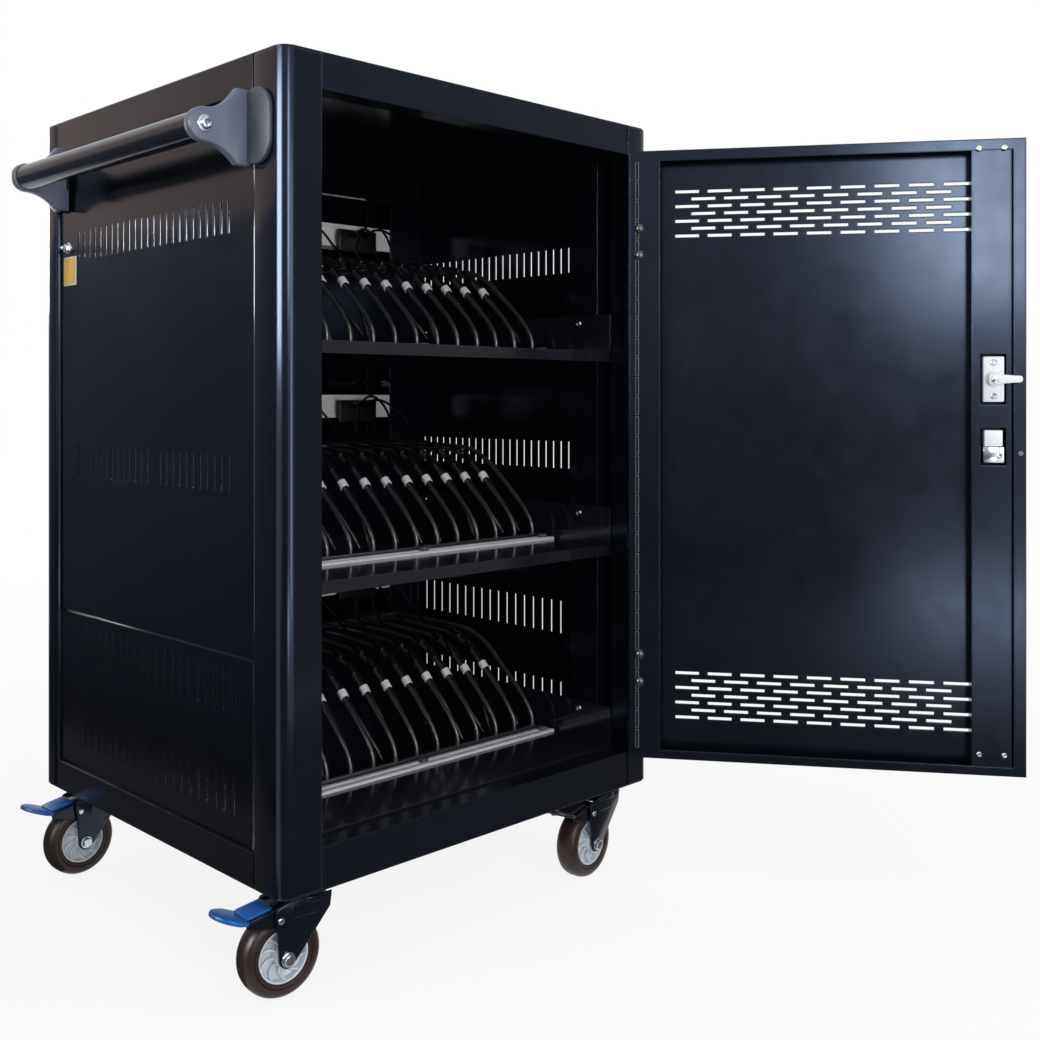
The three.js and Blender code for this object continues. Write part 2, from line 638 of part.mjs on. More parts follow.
function buildHandle() {
  const rearCheek = BRACKET_REAR - CHEEK;
  const front = handleBracket(BRACKET_FRONT, BRACKET_FRONT - BRACKET_FLANGE_REACH);
  const rear = handleBracket(rearCheek, BRACKET_REAR + BRACKET_FLANGE_REACH);
  const span = [BRACKET_FRONT + CHEEK, rearCheek];
  const centre = [HANDLE_Z, -HANDLE_REACH];
  const tube = cut(
    bar('y', centre, HANDLE_DIAMETER / 2, span, HANDLE_SIDES),
    bar('y', centre, HANDLE_DIAMETER / 2 - HANDLE_WALL, [0, CABINET_DEPTH], HANDLE_SIDES),
  );
  piece(cabinet, 'handle_tube', tube, BLACK_PAINT);
  piece(cabinet, 'handle_front_bracket', front, BLACK_PLASTIC);
  piece(cabinet, 'handle_rear_bracket', rear, BLACK_PLASTIC);
}

// Doors. A door is drawn closed about its hinge axis: x runs from the axis to the free edge, y points
// outward from the cabinet, and z is the cabinet's height.

const DOOR_LOW = SILL_HEIGHT + DOOR_GAP;
const DOOR_HIGH = OPENING_HIGH - DOOR_GAP;
const AXIS_INSET = HINGE_LEAF + CLEARANCE / 2;
const DOOR_EDGE = HINGE_LEAF + 1.5 * CLEARANCE;
const DOOR_FACE = -KNUCKLE_RADIUS;
const DOOR_SKIN = DOOR_FACE - SHEET;
const DOOR_BACK = DOOR_FACE - DOOR_THICKNESS;
const SEAT_ON_SKIN = DOOR_SKIN - CLEARANCE;
const doorReach = (openingWidth) => openingWidth - AXIS_INSET - DOOR_GAP;

/** Level slots of the vent bands, in rows that are shifted by half a pitch in turn. */
function doorSlots(rows) {
  const bands = [CABINET_HEIGHT - UPPER_BAND_BELOW_TOP, LOWER_BAND_Z];
  return bands.flatMap((low) => series(rows, low, DOOR_ROW_PITCH).flatMap((z, row) => {
    const shift = row % 2;
    const from = DOOR_SLOTS_FROM + (shift * DOOR_SLOT_PITCH) / 2;
    const starts = series(DOOR_SLOTS_IN_ROW - shift, from, DOOR_SLOT_PITCH);
    return starts.map((x) => rectangle([z, z + DOOR_SLOT_HEIGHT], [x, x + DOOR_SLOT_LENGTH]));
  }));
}

/** A door tray: a skin with folded edges and return flanges, vent slots and one hole for its lock. */
function doorTray(reach, rows, lockHole) {
  const skinCut = [DOOR_SKIN - SHEET, DOOR_FACE + SHEET];
  return cut(
    block([DOOR_EDGE, reach], [DOOR_BACK, DOOR_FACE], [DOOR_LOW, DOOR_HIGH]),
    block(
      [DOOR_EDGE + SHEET, reach - SHEET], [DOOR_BACK + SHEET, DOOR_SKIN],
      [DOOR_LOW + SHEET, DOOR_HIGH - SHEET],
    ),
    block(
      [DOOR_EDGE + HINGE_FLANGE, reach - FREE_FLANGE], [DOOR_BACK - SHEET, DOOR_BACK + 2 * SHEET],
      [DOOR_LOW + BOTTOM_FLANGE, DOOR_HIGH - TOP_FLANGE],
    ),
    prism(doorSlots(rows), 'y', skinCut),
    bar('y', [LOCK_Z, LOCK_S], lockHole, skinCut),
  );
}

/** A hinge leaf with every second knuckle. The cabinet's leaf carries the pin; the door's leaf is bored. */
function hingeLeaf(onDoor) {
  const pitch = (DOOR_HIGH - DOOR_LOW) / KNUCKLES;
  const plate = onDoor ? [CLEARANCE / 2, CLEARANCE / 2 + HINGE_LEAF] : [-AXIS_INSET, -CLEARANCE / 2];
  const inner = DOOR_FACE - CLEARANCE;
  const first = onDoor ? 1 : 0;
  const starts = series(KNUCKLES / 2, DOOR_LOW + first * pitch, 2 * pitch);
  const knuckles = starts.flatMap((z) => {
    const span = [z + CLEARANCE / 2, z + pitch - CLEARANCE / 2];
    return [bar('z', [0, 0], KNUCKLE_RADIUS, span), block(plate, [inner - SHEET, 0], span)];
  });
  const leaf = join(block(plate, [inner - HINGE_LEAF_WIDTH, inner], [DOOR_LOW, DOOR_HIGH]), ...knuckles);
  const pinSpan = [DOOR_LOW, DOOR_HIGH];
  return onDoor
    ? cut(leaf, bar('z', [0, 0], HINGE_PIN_RADIUS + CLEARANCE, pinSpan, PIN_SIDES))
    : join(leaf, bar('z', [0, 0], HINGE_PIN_RADIUS, pinSpan, PIN_SIDES));
}

/** A group at a hinge axis of the cabinet, turned so that its x runs toward the free edge. */
function hingeGroup(x, y, degrees) {
  const group = new THREE.Group();
  group.position.set(x, y, 0);
  group.rotation.z = THREE.MathUtils.degToRad(degrees);
  cabinet.add(group);
  return group;
}

const CASE_S = around(LOCK_S, CASE_WIDTH);
const CASE_Z = around(LOCK_Z, CASE_HEIGHT);
const BLOCK_S = around(LOCK_S, BLOCK_WIDTH);

/** The lock channel: a hat section the height of the door, with windows for the lock case and block. */
function lockChannel() {
  const back = DOOR_BACK + SHEET + CLEARANCE;
  const sides = [CHANNEL_FROM, CHANNEL_FROM + CHANNEL_WIDTH];
  const section = foldedSheet(
    [[sides[0], SEAT_ON_SKIN], [sides[0], back], [sides[1], back], [sides[1], SEAT_ON_SKIN]], SHEET,
  );
  const depth = [DOOR_BACK, back + 2 * SHEET];
  return cut(
    prism(section, 'z', [DOOR_LOW + SHEET + CLEARANCE, DOOR_HIGH - SHEET - CLEARANCE]),
    block(around(LOCK_S, CASE_WIDTH, CUT_MARGIN), depth, around(LOCK_Z, CASE_HEIGHT, CUT_MARGIN)),
    block(
      around(LOCK_S, BLOCK_WIDTH, CUT_MARGIN), depth,
      [BLOCK_Z - CUT_MARGIN, BLOCK_Z + BLOCK_HEIGHT + CUT_MARGIN],
    ),
  );
}

/** A cam tongue about the lock's axis, and the round bar that turns it. */
function camOnBar(length, tongue, radius, barTo) {
  const outline = roundedRectangle(
    around(LOCK_Z, CAM_WIDTH), [LOCK_S - CAM_HEEL, LOCK_S + length], CAM_WIDTH / 3,
  );
  return join(
    prism(outline, 'y', tongue),
    bar('y', [LOCK_Z, LOCK_S], radius, [tongue[0], barTo]),
  );
}

function buildFrontLock(door) {
  const tongueFar = DOOR_BACK - CAM_BEHIND_DOOR;
  const tongue = [tongueFar - CAM_THICKNESS, tongueFar];
  const bore = boreFor(SPINDLE_RADIUS);
  const pinBore = boreFor(PIVOT_PIN_RADIUS, PIN_SIDES);
  const plateFrom = DOOR_FACE + CLEARANCE;
  const plateTo = plateFrom + ESCUTCHEON_THICKNESS;
  const leverFrom = plateTo + CLEARANCE;
  const pivotY = leverFrom + LEVER_THICKNESS / 2;
  const boxCase = cut(
    block(CASE_S, [DOOR_BACK - CASE_PROUD + SHEET, SEAT_ON_SKIN], CASE_Z),
    bar('y', [LOCK_Z, LOCK_S], bore, [2 * DOOR_BACK, 0]),
  );
  const step = BLOCK_Z + BLOCK_HEIGHT / 2;
  const lowerBlock = join(
    block(BLOCK_S, [DOOR_BACK, SEAT_ON_SKIN], [step, BLOCK_Z + BLOCK_HEIGHT]),
    block(BLOCK_S, [DOOR_BACK - SHEET, SEAT_ON_SKIN], [BLOCK_Z, step]),
  );
  const plateOutline = roundedRectangle(
    [LOCK_Z - ESCUTCHEON_BELOW, LOCK_Z + ESCUTCHEON_ABOVE], around(LOCK_S, ESCUTCHEON_WIDTH), CAM_WIDTH,
  );
  const escutcheon = cut(
    prism(plateOutline, 'y', [plateFrom, plateTo]),
    bar('y', [LOCK_Z, LOCK_S], bore, [DOOR_FACE, 2 * plateTo + SHEET]),
  );
  const cam = join(
    camOnBar(CAM_LENGTH, tongue, SPINDLE_RADIUS, pivotY),
    block(
      around(LOCK_S, PIVOT_BLOCK), [leverFrom, leverFrom + LEVER_THICKNESS - SHEET],
      around(LOCK_Z, PIVOT_BLOCK),
    ),
    bar('x', [pivotY, LOCK_Z], PIVOT_PIN_RADIUS, around(LOCK_S, LEVER_WIDTH), PIN_SIDES),
  );
  const side = new THREE.Shape();
  side.absarc(pivotY, LOCK_Z, LEVER_THICKNESS / 2, 0, Math.PI);
  side.lineTo(leverFrom, LOCK_Z - LEVER_BELOW);
  side.lineTo(pivotY, LOCK_Z - LEVER_BELOW);
  const lever = cut(
    prism(side, 'x', around(LOCK_S, LEVER_WIDTH)),
    block(
      around(LOCK_S, PIVOT_BLOCK, CLEARANCE), [0, 2 * pivotY], [LOCK_Z - PIVOT_BLOCK, LOCK_Z + PIVOT_BLOCK],
    ),
    bar('x', [pivotY, LOCK_Z], pinBore, around(LOCK_S, 2 * LEVER_WIDTH), PIN_SIDES),
  );
  piece(door, 'lock_case', boxCase, LOCK_WHITE);
  piece(door, 'lower_latch_block', lowerBlock, LOCK_WHITE);
  piece(door, 'lock_escutcheon', escutcheon, BLACK_PLASTIC);
  piece(door, 'lock_cam', cam, LOCK_WHITE);
  piece(door, 'swing_handle', lever, BLACK_PLASTIC);
}

function buildFrontDoor() {
  const axisX = OPENING_RIGHT - AXIS_INSET;
  const fixed = hingeGroup(axisX, -KNUCKLE_RADIUS, 180);
  const door = hingeGroup(axisX, -KNUCKLE_RADIUS, 180 + FRONT_DOOR_OPEN);
  const reach = doorReach(OPENING_RIGHT - OPENING_LEFT);
  piece(fixed, 'front_hinge_fixed_leaf', hingeLeaf(false), BLACK_PAINT);
  piece(door, 'front_hinge_door_leaf', hingeLeaf(true), BLACK_PAINT);
  piece(door, 'front_door_panel', doorTray(reach, FRONT_VENT_ROWS, boreFor(SPINDLE_RADIUS)), DOOR_PAINT);
  piece(door, 'front_lock_channel', lockChannel(), DOOR_PAINT);
  buildFrontLock(door);
}

function buildRearDoor() {
  const axisX = REAR_LEFT + AXIS_INSET;
  const axisY = CABINET_DEPTH + KNUCKLE_RADIUS;
  const fixed = hingeGroup(axisX, axisY, 0);
  const door = hingeGroup(axisX, axisY, 0);
  const reach = doorReach(REAR_RIGHT - REAR_LEFT);
  const tongueFar = -KNUCKLE_RADIUS - JAMB_DEPTH - SHEET;
  const tongue = [tongueFar - CAM_THICKNESS, tongueFar];
  const flangeFrom = DOOR_FACE + CLEARANCE;
  const lock = join(
    camOnBar(KEY_CAM_LENGTH, tongue, KEY_LOCK_RADIUS, flangeFrom + KEY_FLANGE),
    bar('y', [LOCK_Z, LOCK_S], KEY_FLANGE_RADIUS, [flangeFrom, flangeFrom + KEY_FLANGE]),
  );
  piece(fixed, 'rear_hinge_fixed_leaf', hingeLeaf(false), BLACK_PAINT);
  piece(door, 'rear_hinge_door_leaf', hingeLeaf(true), BLACK_PAINT);
  piece(door, 'rear_door_panel', doorTray(reach, REAR_VENT_ROWS, boreFor(KEY_LOCK_RADIUS)), DOOR_PAINT);
  piece(door, 'rear_key_lock', lock, ZINC);
}

// Casters. A caster is drawn about its swivel axis: x runs along its trail, y across the wheel, z up from
// the floor.

const CASTER_RACE_LOW = CASTER_HEIGHT - CASTER_PLATE - RACE_HEIGHT;
const CROWN_TOP = CASTER_RACE_LOW - CLEARANCE;
const CROWN_LOW = CROWN_TOP - CROWN_HEIGHT;
const FORK_INNER = TREAD_WIDTH / 2 + FORK_SIDE_GAP;
const FORK_OUTER = FORK_INNER + FORK_WALL;
const PEDAL_OUTER = FORK_INNER - 2 * CLEARANCE;

/** A ring from its half section (radius, place along the axle), turned about the wheel's axle. */
function wheelRing(profile, segments) {
  const closed = [...profile, profile[0]].map(([radius, y]) => new THREE.Vector2(radius, y));
  const ring = new THREE.LatheGeometry(closed, segments);
  return solid(ring.translate(CASTER_TRAIL, 0, WHEEL_RADIUS));
}

/** A crowned tyre on the hub's rim. */
function tyre() {
  const half = TREAD_WIDTH / 2;
  const inner = HUB_RADIUS + CLEARANCE;
  const shoulder = WHEEL_RADIUS - TREAD_CROWN;
  return wheelRing([
    [inner, TREAD_BEVEL - half], [shoulder, -half], [WHEEL_RADIUS, -half / 2],
    [WHEEL_RADIUS, half / 2], [shoulder, half], [inner, half - TREAD_BEVEL],
  ], WHEEL_SEGMENTS);
}

/** A hub with a rim that slopes to its web, and a bored boss. */
function hub() {
  const boss = TREAD_WIDTH / 2 + HUB_BOSS_PROUD;
  const rim = TREAD_WIDTH / 2 - TREAD_BEVEL;
  const bore = AXLE_RADIUS + CLEARANCE;
  const rimInner = HUB_RADIUS - HUB_RIM;
  return wheelRing([
    [bore, -boss], [HUB_BOSS_RADIUS, -boss], [HUB_BOSS_RADIUS, -HUB_WEB / 2], [rimInner, -HUB_WEB / 2],
    [HUB_RADIUS, -rim], [HUB_RADIUS, rim], [rimInner, HUB_WEB / 2], [HUB_BOSS_RADIUS, HUB_WEB / 2],
    [HUB_BOSS_RADIUS, boss], [bore, boss],
  ], WHEEL_SEGMENTS);
}

/** A pressed fork: a crown, two tapered legs and the axle bolt through them. */
function fork() {
  const [turnFrom, turnTo] = FORK_TOE_TURN.map((degrees) => THREE.MathUtils.degToRad(degrees));
  const leg = new THREE.Shape();
  leg.moveTo(CROWN_TOP, -RACE_RADIUS);
  leg.lineTo(CROWN_LOW - CROWN_HEIGHT, -FORK_FRONT);
  leg.absarc(WHEEL_RADIUS, CASTER_TRAIL, FORK_TOE_RADIUS, turnFrom, turnTo, true);
  FORK_REAR_EDGE.forEach(([z, t]) => leg.lineTo(z, t));
  leg.lineTo(CROWN_TOP, FORK_REAR);
  const axle = [WHEEL_RADIUS, CASTER_TRAIL];
  const pivot = [PEDAL_PIVOT_Z, PEDAL_PIVOT_T];
  const bolt = FORK_OUTER + AXLE_HEAD;
  const whole = join(
    bar('z', [0, 0], CROWN_RADIUS, [CROWN_LOW, CROWN_TOP], WHEEL_SEGMENTS),
    block([-FORK_FRONT, FORK_REAR], [-FORK_OUTER, FORK_OUTER], [CROWN_LOW, CROWN_LOW + FORK_WALL]),
    prism(leg, 'y', [-FORK_OUTER, -FORK_INNER]),
    prism(leg, 'y', [FORK_INNER, FORK_OUTER]),
    bar('y', axle, AXLE_RADIUS, [-bolt, bolt], PIN_SIDES),
    bar('y', axle, AXLE_HEAD_RADIUS, [-bolt, -FORK_OUTER], PIN_SIDES),
    bar('y', axle, AXLE_HEAD_RADIUS, [FORK_OUTER, bolt], PIN_SIDES),
  );
  return cut(whole, bar('y', pivot, PEDAL_PIN_RADIUS + CLEARANCE, [-bolt, bolt], PIN_SIDES));
}

/** A brake pedal: a cradle over the tyre on two pins in the fork, with a tread pad and a raised round toe. */
function pedal() {
  const slope = THREE.MathUtils.degToRad(PEDAL_SLOPE);
  const along = (length) => [PEDAL_TOP - length * Math.sin(slope), PEDAL_BACK + length * Math.cos(slope)];
  const inner = PEDAL_OUTER - PEDAL_SKIRT;
  const edge = [along(0), along(PEDAL_LENGTH), ...PEDAL_SKIRT_LOW];
  const skirt = new THREE.Shape(edge.map(([z, t]) => new THREE.Vector2(z, t)));
  const toeHalf = PEDAL_OUTER + TOE_FLARE;
  const [toeTop, toeFrom] = along(PEDAL_LENGTH - TOE_OVERLAP);
  const toe = new THREE.Shape();
  toe.moveTo(0, -PEDAL_OUTER);
  toe.lineTo(TOE_NECK, -toeHalf);
  toe.absellipse(TOE_NECK, 0, TOE_LENGTH, toeHalf, -Math.PI / 2, Math.PI / 2);
  toe.lineTo(0, PEDAL_OUTER);
  const top = join(
    block([0, PEDAL_LENGTH], [-PEDAL_OUTER, PEDAL_OUTER], [-PEDAL_PLATE, 0]),
    block(PAD_SPAN, around(0, PAD_WIDTH), [-PEDAL_PLATE, PAD_RISE]),
  );
  const pins = [[-FORK_OUTER, -inner], [inner, FORK_OUTER]].map((span) => (
    bar('y', [PEDAL_PIVOT_Z, PEDAL_PIVOT_T], PEDAL_PIN_RADIUS, span, PIN_SIDES)
  ));
  return join(
    top.rotate([0, PEDAL_SLOPE, 0]).translate([PEDAL_BACK, 0, PEDAL_TOP]),
    prism(toe, 'z', [-TOE_THICKNESS, 0]).rotate([0, -TOE_RISE, 0]).translate([toeFrom, 0, toeTop]),
    prism(skirt, 'y', [-PEDAL_OUTER, -inner]),
    prism(skirt, 'y', [inner, PEDAL_OUTER]),
    ...pins,
  );
}

function buildCasters() {
  for (const [corner, { right, rear, trail, pedal: colour }] of Object.entries(CASTERS)) {
    const x = right ? CABINET_WIDTH - CASTER_INSET_X : CASTER_INSET_X;
    const y = rear ? CABINET_DEPTH - CASTER_INSET_Y : CASTER_INSET_Y;
    const plateHeight = [CASTER_HEIGHT - CASTER_PLATE, CASTER_HEIGHT];
    const plate = join(
      block(around(x, CASTER_PLATE_LENGTH), around(y, CASTER_PLATE_WIDTH), plateHeight),
      bar('z', [x, y], RACE_RADIUS, [CASTER_RACE_LOW, CASTER_HEIGHT], WHEEL_SEGMENTS),
    );
    piece(cart, `${corner}_caster_plate`, plate, BLACK_PAINT);
    const swivel = new THREE.Group();
    swivel.position.set(x, y, 0);
    swivel.rotation.z = THREE.MathUtils.degToRad(trail);
    cart.add(swivel);
    piece(swivel, `${corner}_caster_fork`, fork(), BLACK_PAINT);
    piece(swivel, `${corner}_wheel_tyre`, tyre(), TYRE_BROWN);
    piece(swivel, `${corner}_wheel_hub`, hub(), HUB_GREY);
    piece(swivel, `${corner}_brake_pedal`, pedal(), finish(colour, 0.4, 0));
  }
}

buildShell();
buildPosts();
buildSides();
buildInlet();
buildPartition();
buildShelves();
buildHandle();
buildFrontDoor();
buildRearDoor();
buildCasters();

// The origin is the middle of the whole cart's box, on the floor
const bounds = new THREE.Box3().setFromObject(cart);
const middle = bounds.getCenter(new THREE.Vector3());
cart.position.set(-middle.x, -middle.y, -bounds.min.z);

export default cart;
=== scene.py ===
"""Looks of a laptop charging cart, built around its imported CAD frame.

Pieces are drawn in millimetres in the frame of what carries them: the cabinet, a door or a caster.
"""

import json
import logging
import math
from dataclasses import dataclass
from enum import Enum
from typing import Iterable, Optional, Sequence

import bmesh
import bpy
from mathutils import Matrix, Vector


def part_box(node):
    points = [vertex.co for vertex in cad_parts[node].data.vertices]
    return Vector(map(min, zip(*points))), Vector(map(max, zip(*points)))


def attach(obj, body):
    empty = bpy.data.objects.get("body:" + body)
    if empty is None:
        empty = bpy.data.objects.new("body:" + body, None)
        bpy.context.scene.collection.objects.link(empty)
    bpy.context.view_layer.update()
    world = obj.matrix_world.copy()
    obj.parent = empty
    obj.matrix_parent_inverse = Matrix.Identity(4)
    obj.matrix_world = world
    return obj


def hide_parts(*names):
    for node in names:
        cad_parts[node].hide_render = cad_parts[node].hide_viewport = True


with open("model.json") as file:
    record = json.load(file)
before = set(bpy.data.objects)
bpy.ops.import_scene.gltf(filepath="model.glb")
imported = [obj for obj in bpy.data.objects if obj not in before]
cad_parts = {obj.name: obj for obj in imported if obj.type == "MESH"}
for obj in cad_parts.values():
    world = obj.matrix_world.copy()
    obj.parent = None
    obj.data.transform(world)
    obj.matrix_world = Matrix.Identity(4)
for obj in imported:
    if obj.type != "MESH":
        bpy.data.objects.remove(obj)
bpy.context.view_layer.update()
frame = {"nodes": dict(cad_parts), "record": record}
LOG = logging.getLogger("charging_cart")
MM = 0.001
Color = tuple[float, float, float]
Flat = tuple[float, float]
Point = tuple[float, float, float]
Span = tuple[float, float]


class Side(Enum):
    """A side of the cart."""

    LEFT = "left"
    RIGHT = "right"


@dataclass(frozen=True)
class Place:
    """A drawing frame in millimetres, set into the row frame."""

    origin: Vector
    turn: float = 0.0

    def matrix(self) -> Matrix:
        """The matrix from this frame to the row frame."""
        turned = Matrix.Rotation(math.radians(self.turn), 4, "Z")
        return Matrix.Translation(self.origin) @ turned @ Matrix.Scale(MM, 4)

    def at(self, point: Point) -> Vector:
        """A point of this frame in the row frame."""
        return self.matrix() @ Vector(point)


# Shapes, in millimetres


def facing(point: Point, direction: Point) -> Matrix:
    """A matrix that stands a part, drawn along +z, on a point.

    Args:
        point: where the part's origin goes.
        direction: where the part's +z points.
    Returns:
        The matrix for that place.
    """
    turn = Vector(direction).to_track_quat("Z", "Y").to_matrix().to_4x4()
    return Matrix.Translation(Vector(point)) @ turn


class Shape:
    """A mesh in the making, put together from parts."""

    def __init__(self) -> None:
        """Starts with no parts."""
        self.bm = bmesh.new()

    def add(self, part: bmesh.types.BMesh, matrix: Optional[Matrix] = None) -> "Shape":
        """Moves a part into this shape.

        Args:
            part: the part, which is used up.
            matrix: where the part goes, if it isn't drawn in place.
        Returns:
            This shape.
        """
        if matrix is not None:
            bmesh.ops.transform(part, matrix=matrix, verts=part.verts)
        mesh = bpy.data.meshes.new("part")
        part.to_mesh(mesh)
        part.free()
        self.bm.from_mesh(mesh)
        bpy.data.meshes.remove(mesh)
        return self


def round_edges(bm: bmesh.types.BMesh, edges: Iterable, width: float, segments: int = 2) -> None:
    """Rounds edges of a part.

    Args:
        bm: the part.
        edges: its edges to round.
        width: how far the round reaches.
        segments: faces across the round.
    """
    bmesh.ops.bevel(
        bm, geom=list(edges), offset=width, offset_type="OFFSET", segments=segments, profile=0.5,
        affect="EDGES", material=-1, clamp_overlap=True,
    )


def block(low: Point, high: Point, rounding: float = 0.0, segments: int = 2) -> bmesh.types.BMesh:
    """A block between two corners.

    Args:
        low: its lowest corner.
        high: its highest corner.
        rounding: width of its rounded edges, 0 for sharp ones.
        segments: faces across a rounded edge.
    Returns:
        The block.
    """
    bm = bmesh.new()
    bmesh.ops.create_cube(bm, size=1.0)
    low_corner, high_corner = Vector(low), Vector(high)
    bmesh.ops.scale(bm, vec=high_corner - low_corner, verts=bm.verts)
    bmesh.ops.translate(bm, vec=(low_corner + high_corner) / 2, verts=bm.verts)
    if rounding:
        round_edges(bm, bm.edges, rounding, segments)
    return bm


def disc(radius: float, height: float, rounding: float = 0.0, sides: int = 24) -> bmesh.types.BMesh:
    """A round bar along +z from 0, with a rounded upper rim.

    Args:
        radius: its radius.
        height: its length.
        rounding: width of the upper rim's round.
        sides: faces around it.
    Returns:
        The bar.
    """
    bm = bmesh.new()
    bmesh.ops.create_cone(
        bm, cap_ends=True, cap_tris=False, segments=sides, radius1=radius, radius2=radius, depth=height
    )
    bmesh.ops.translate(bm, vec=(0, 0, height / 2), verts=bm.verts)
    if rounding:
        rim = [e for e in bm.edges if all(v.co.z > height / 2 for v in e.verts)]
        round_edges(bm, rim, rounding, 3)
    return bm


def turned(profile: Sequence[Flat], sides: int = 32, ring: bool = True) -> bmesh.types.BMesh:
    """A part turned about +z.

    Args:
        profile: its half section as (radius, height) points.
        sides: steps of the full turn.
        ring: whether the last point joins the first.
    Returns:
        The turned part.
    """
    bm = bmesh.new()
    verts = [bm.verts.new((radius, 0, height)) for radius, height in profile]
    ends = verts[1:] + verts[:1] if ring else verts[1:]
    edges = [bm.edges.new(pair) for pair in zip(verts, ends)]
    bmesh.ops.spin(
        bm, geom=verts + edges, cent=(0, 0, 0), axis=(0, 0, 1), dvec=(0, 0, 0), angle=2 * math.pi,
        steps=sides, use_merge=True, use_duplicate=False,
    )
    bmesh.ops.remove_doubles(bm, verts=bm.verts, dist=1e-3)
    bmesh.ops.dissolve_degenerate(bm, dist=1e-3, edges=bm.edges)
    bmesh.ops.recalc_face_normals(bm, faces=bm.faces)
    return bm


def plate(outline: Sequence[Flat], thickness: float, rounding: float = 0.0) -> bmesh.types.BMesh:
    """A flat plate on the XY plane, from 0 up to its thickness.

    Args:
        outline: its corners in order.
        thickness: its thickness.
        rounding: width of the round along its rims.
    Returns:
        The plate.
    """
    bm = bmesh.new()
    face = bm.faces.new([bm.verts.new((x, y, 0)) for x, y in outline])
    made = bmesh.ops.extrude_face_region(bm, geom=[face])
    top = [v for v in made["geom"] if isinstance(v, bmesh.types.BMVert)]
    bmesh.ops.translate(bm, vec=(0, 0, thickness), verts=top)
    bmesh.ops.recalc_face_normals(bm, faces=bm.faces)
    if rounding:
        rims = [e for e in bm.edges if abs(e.verts[0].co.z - e.verts[1].co.z) < thickness / 2]
        round_edges(bm, rims, rounding, 2)
    return bm


def arc(middle: Flat, radius: float, degrees: Span, steps: int) -> list[Flat]:
    """Points of a round corner.

    Args:
        middle: the arc's middle.
        radius: its radius.
        degrees: the headings it goes from and to.
        steps: the number of steps between them.
    Returns:
        The points in order.
    """
    start, end = (math.radians(d) for d in degrees)
    turns = [start + (end - start) * i / steps for i in range(steps + 1)]
    return [(middle[0] + radius * math.cos(t), middle[1] + radius * math.sin(t)) for t in turns]


def rounded_outline(x: Span, y: Span, radius: float, steps: int = 5) -> list[Flat]:
    """The outline of a rectangle with round corners.

    Args:
        x: its limits along x.
        y: its limits along y.
        radius: radius of the corners.
        steps: steps in each corner.
    Returns:
        The outline's points in order.
    """
    corners = [(x[1], y[1], 0), (x[0], y[1], 90), (x[0], y[0], 180), (x[1], y[0], 270)]
    middle = [(a - radius if a == x[1] else a + radius, b - radius if b == y[1] else b + radius) for a, b, _ in corners]
    points = []
    for centre, (_, _, turn) in zip(middle, corners):
        points += arc(centre, radius, (turn, turn + 90), steps)
    return points


def folded(path: Sequence[Flat], thickness: float, height: Span) -> bmesh.types.BMesh:
    """A sheet folded along a path in plan and standing upright.

    Args:
        path: the outer line of the folds.
        thickness: the sheet's thickness, to the left of the path.
        height: its lower and upper end.
    Returns:
        The folded sheet.
    """
    bm = bmesh.new()
    verts = [bm.verts.new((x, y, height[0])) for x, y in path]
    edges = [bm.edges.new(pair) for pair in zip(verts, verts[1:])]
    made = bmesh.ops.extrude_edge_only(bm, edges=edges)
    top = [v for v in made["geom"] if isinstance(v, bmesh.types.BMVert)]
    bmesh.ops.translate(bm, vec=(0, 0, height[1] - height[0]), verts=top)
    bm.normal_update()
    bm.faces.ensure_lookup_table()
    along = Vector(path[1]) - Vector(path[0])
    left = Vector((-along.y, along.x, 0))
    if bm.faces[0].normal.dot(left) < 0:
        bmesh.ops.reverse_faces(bm, faces=bm.faces)
    bmesh.ops.solidify(bm, geom=bm.faces[:], thickness=-thickness)
    return bm


def tubes(routes: Sequence[Sequence[Point]], radius: float, sides: int = 10, steps: int = 5) -> bmesh.types.BMesh:
    """Round tubes with closed ends along smooth routes.

    Args:
        routes: the points that each tube goes through.
        radius: radius of the tubes.
        sides: faces around a tube.
        steps: steps from one point of a route to the next.
    Returns:
        The tubes.
    """
    curve = bpy.data.curves.new("route", "CURVE")
    curve.dimensions = "3D"
    curve.bevel_depth = radius
    curve.bevel_resolution = (sides - 4) // 2
    curve.use_fill_caps = True
    for route in routes:
        spline = curve.splines.new("BEZIER")
        spline.resolution_u = steps
        spline.bezier_points.add(len(route) - 1)
        for bend, point in zip(spline.bezier_points, route):
            bend.co = point
            bend.handle_left_type = bend.handle_right_type = "AUTO"
    holder = bpy.data.objects.new("route", curve)
    bpy.context.scene.collection.objects.link(holder)
    graph = bpy.context.evaluated_depsgraph_get()
    mesh = bpy.data.meshes.new_from_object(holder.evaluated_get(graph))
    bm = bmesh.new()
    bm.from_mesh(mesh)
    bmesh.ops.remove_doubles(bm, verts=bm.verts, dist=1e-3)
    bpy.data.objects.remove(holder)
    bpy.data.curves.remove(curve)
    bpy.data.meshes.remove(mesh)
    return bm


def screw(radius: float, height: float) -> bmesh.types.BMesh:
    """A screw's domed head along +z, with a dished drive.

    Args:
        radius: radius of the head.
        height: its height.
    Returns:
        The head.
    """
    bm = disc(radius, height, 0.55 * height, 16)
    top = max(bm.faces, key=lambda face: face.calc_center_median().z)
    bmesh.ops.inset_region(bm, faces=[top], thickness=0.3 * radius, use_even_offset=True)
    bmesh.ops.translate(bm, vec=(0, 0, -0.45 * height), verts=top.verts)
    return bm


# Finishes


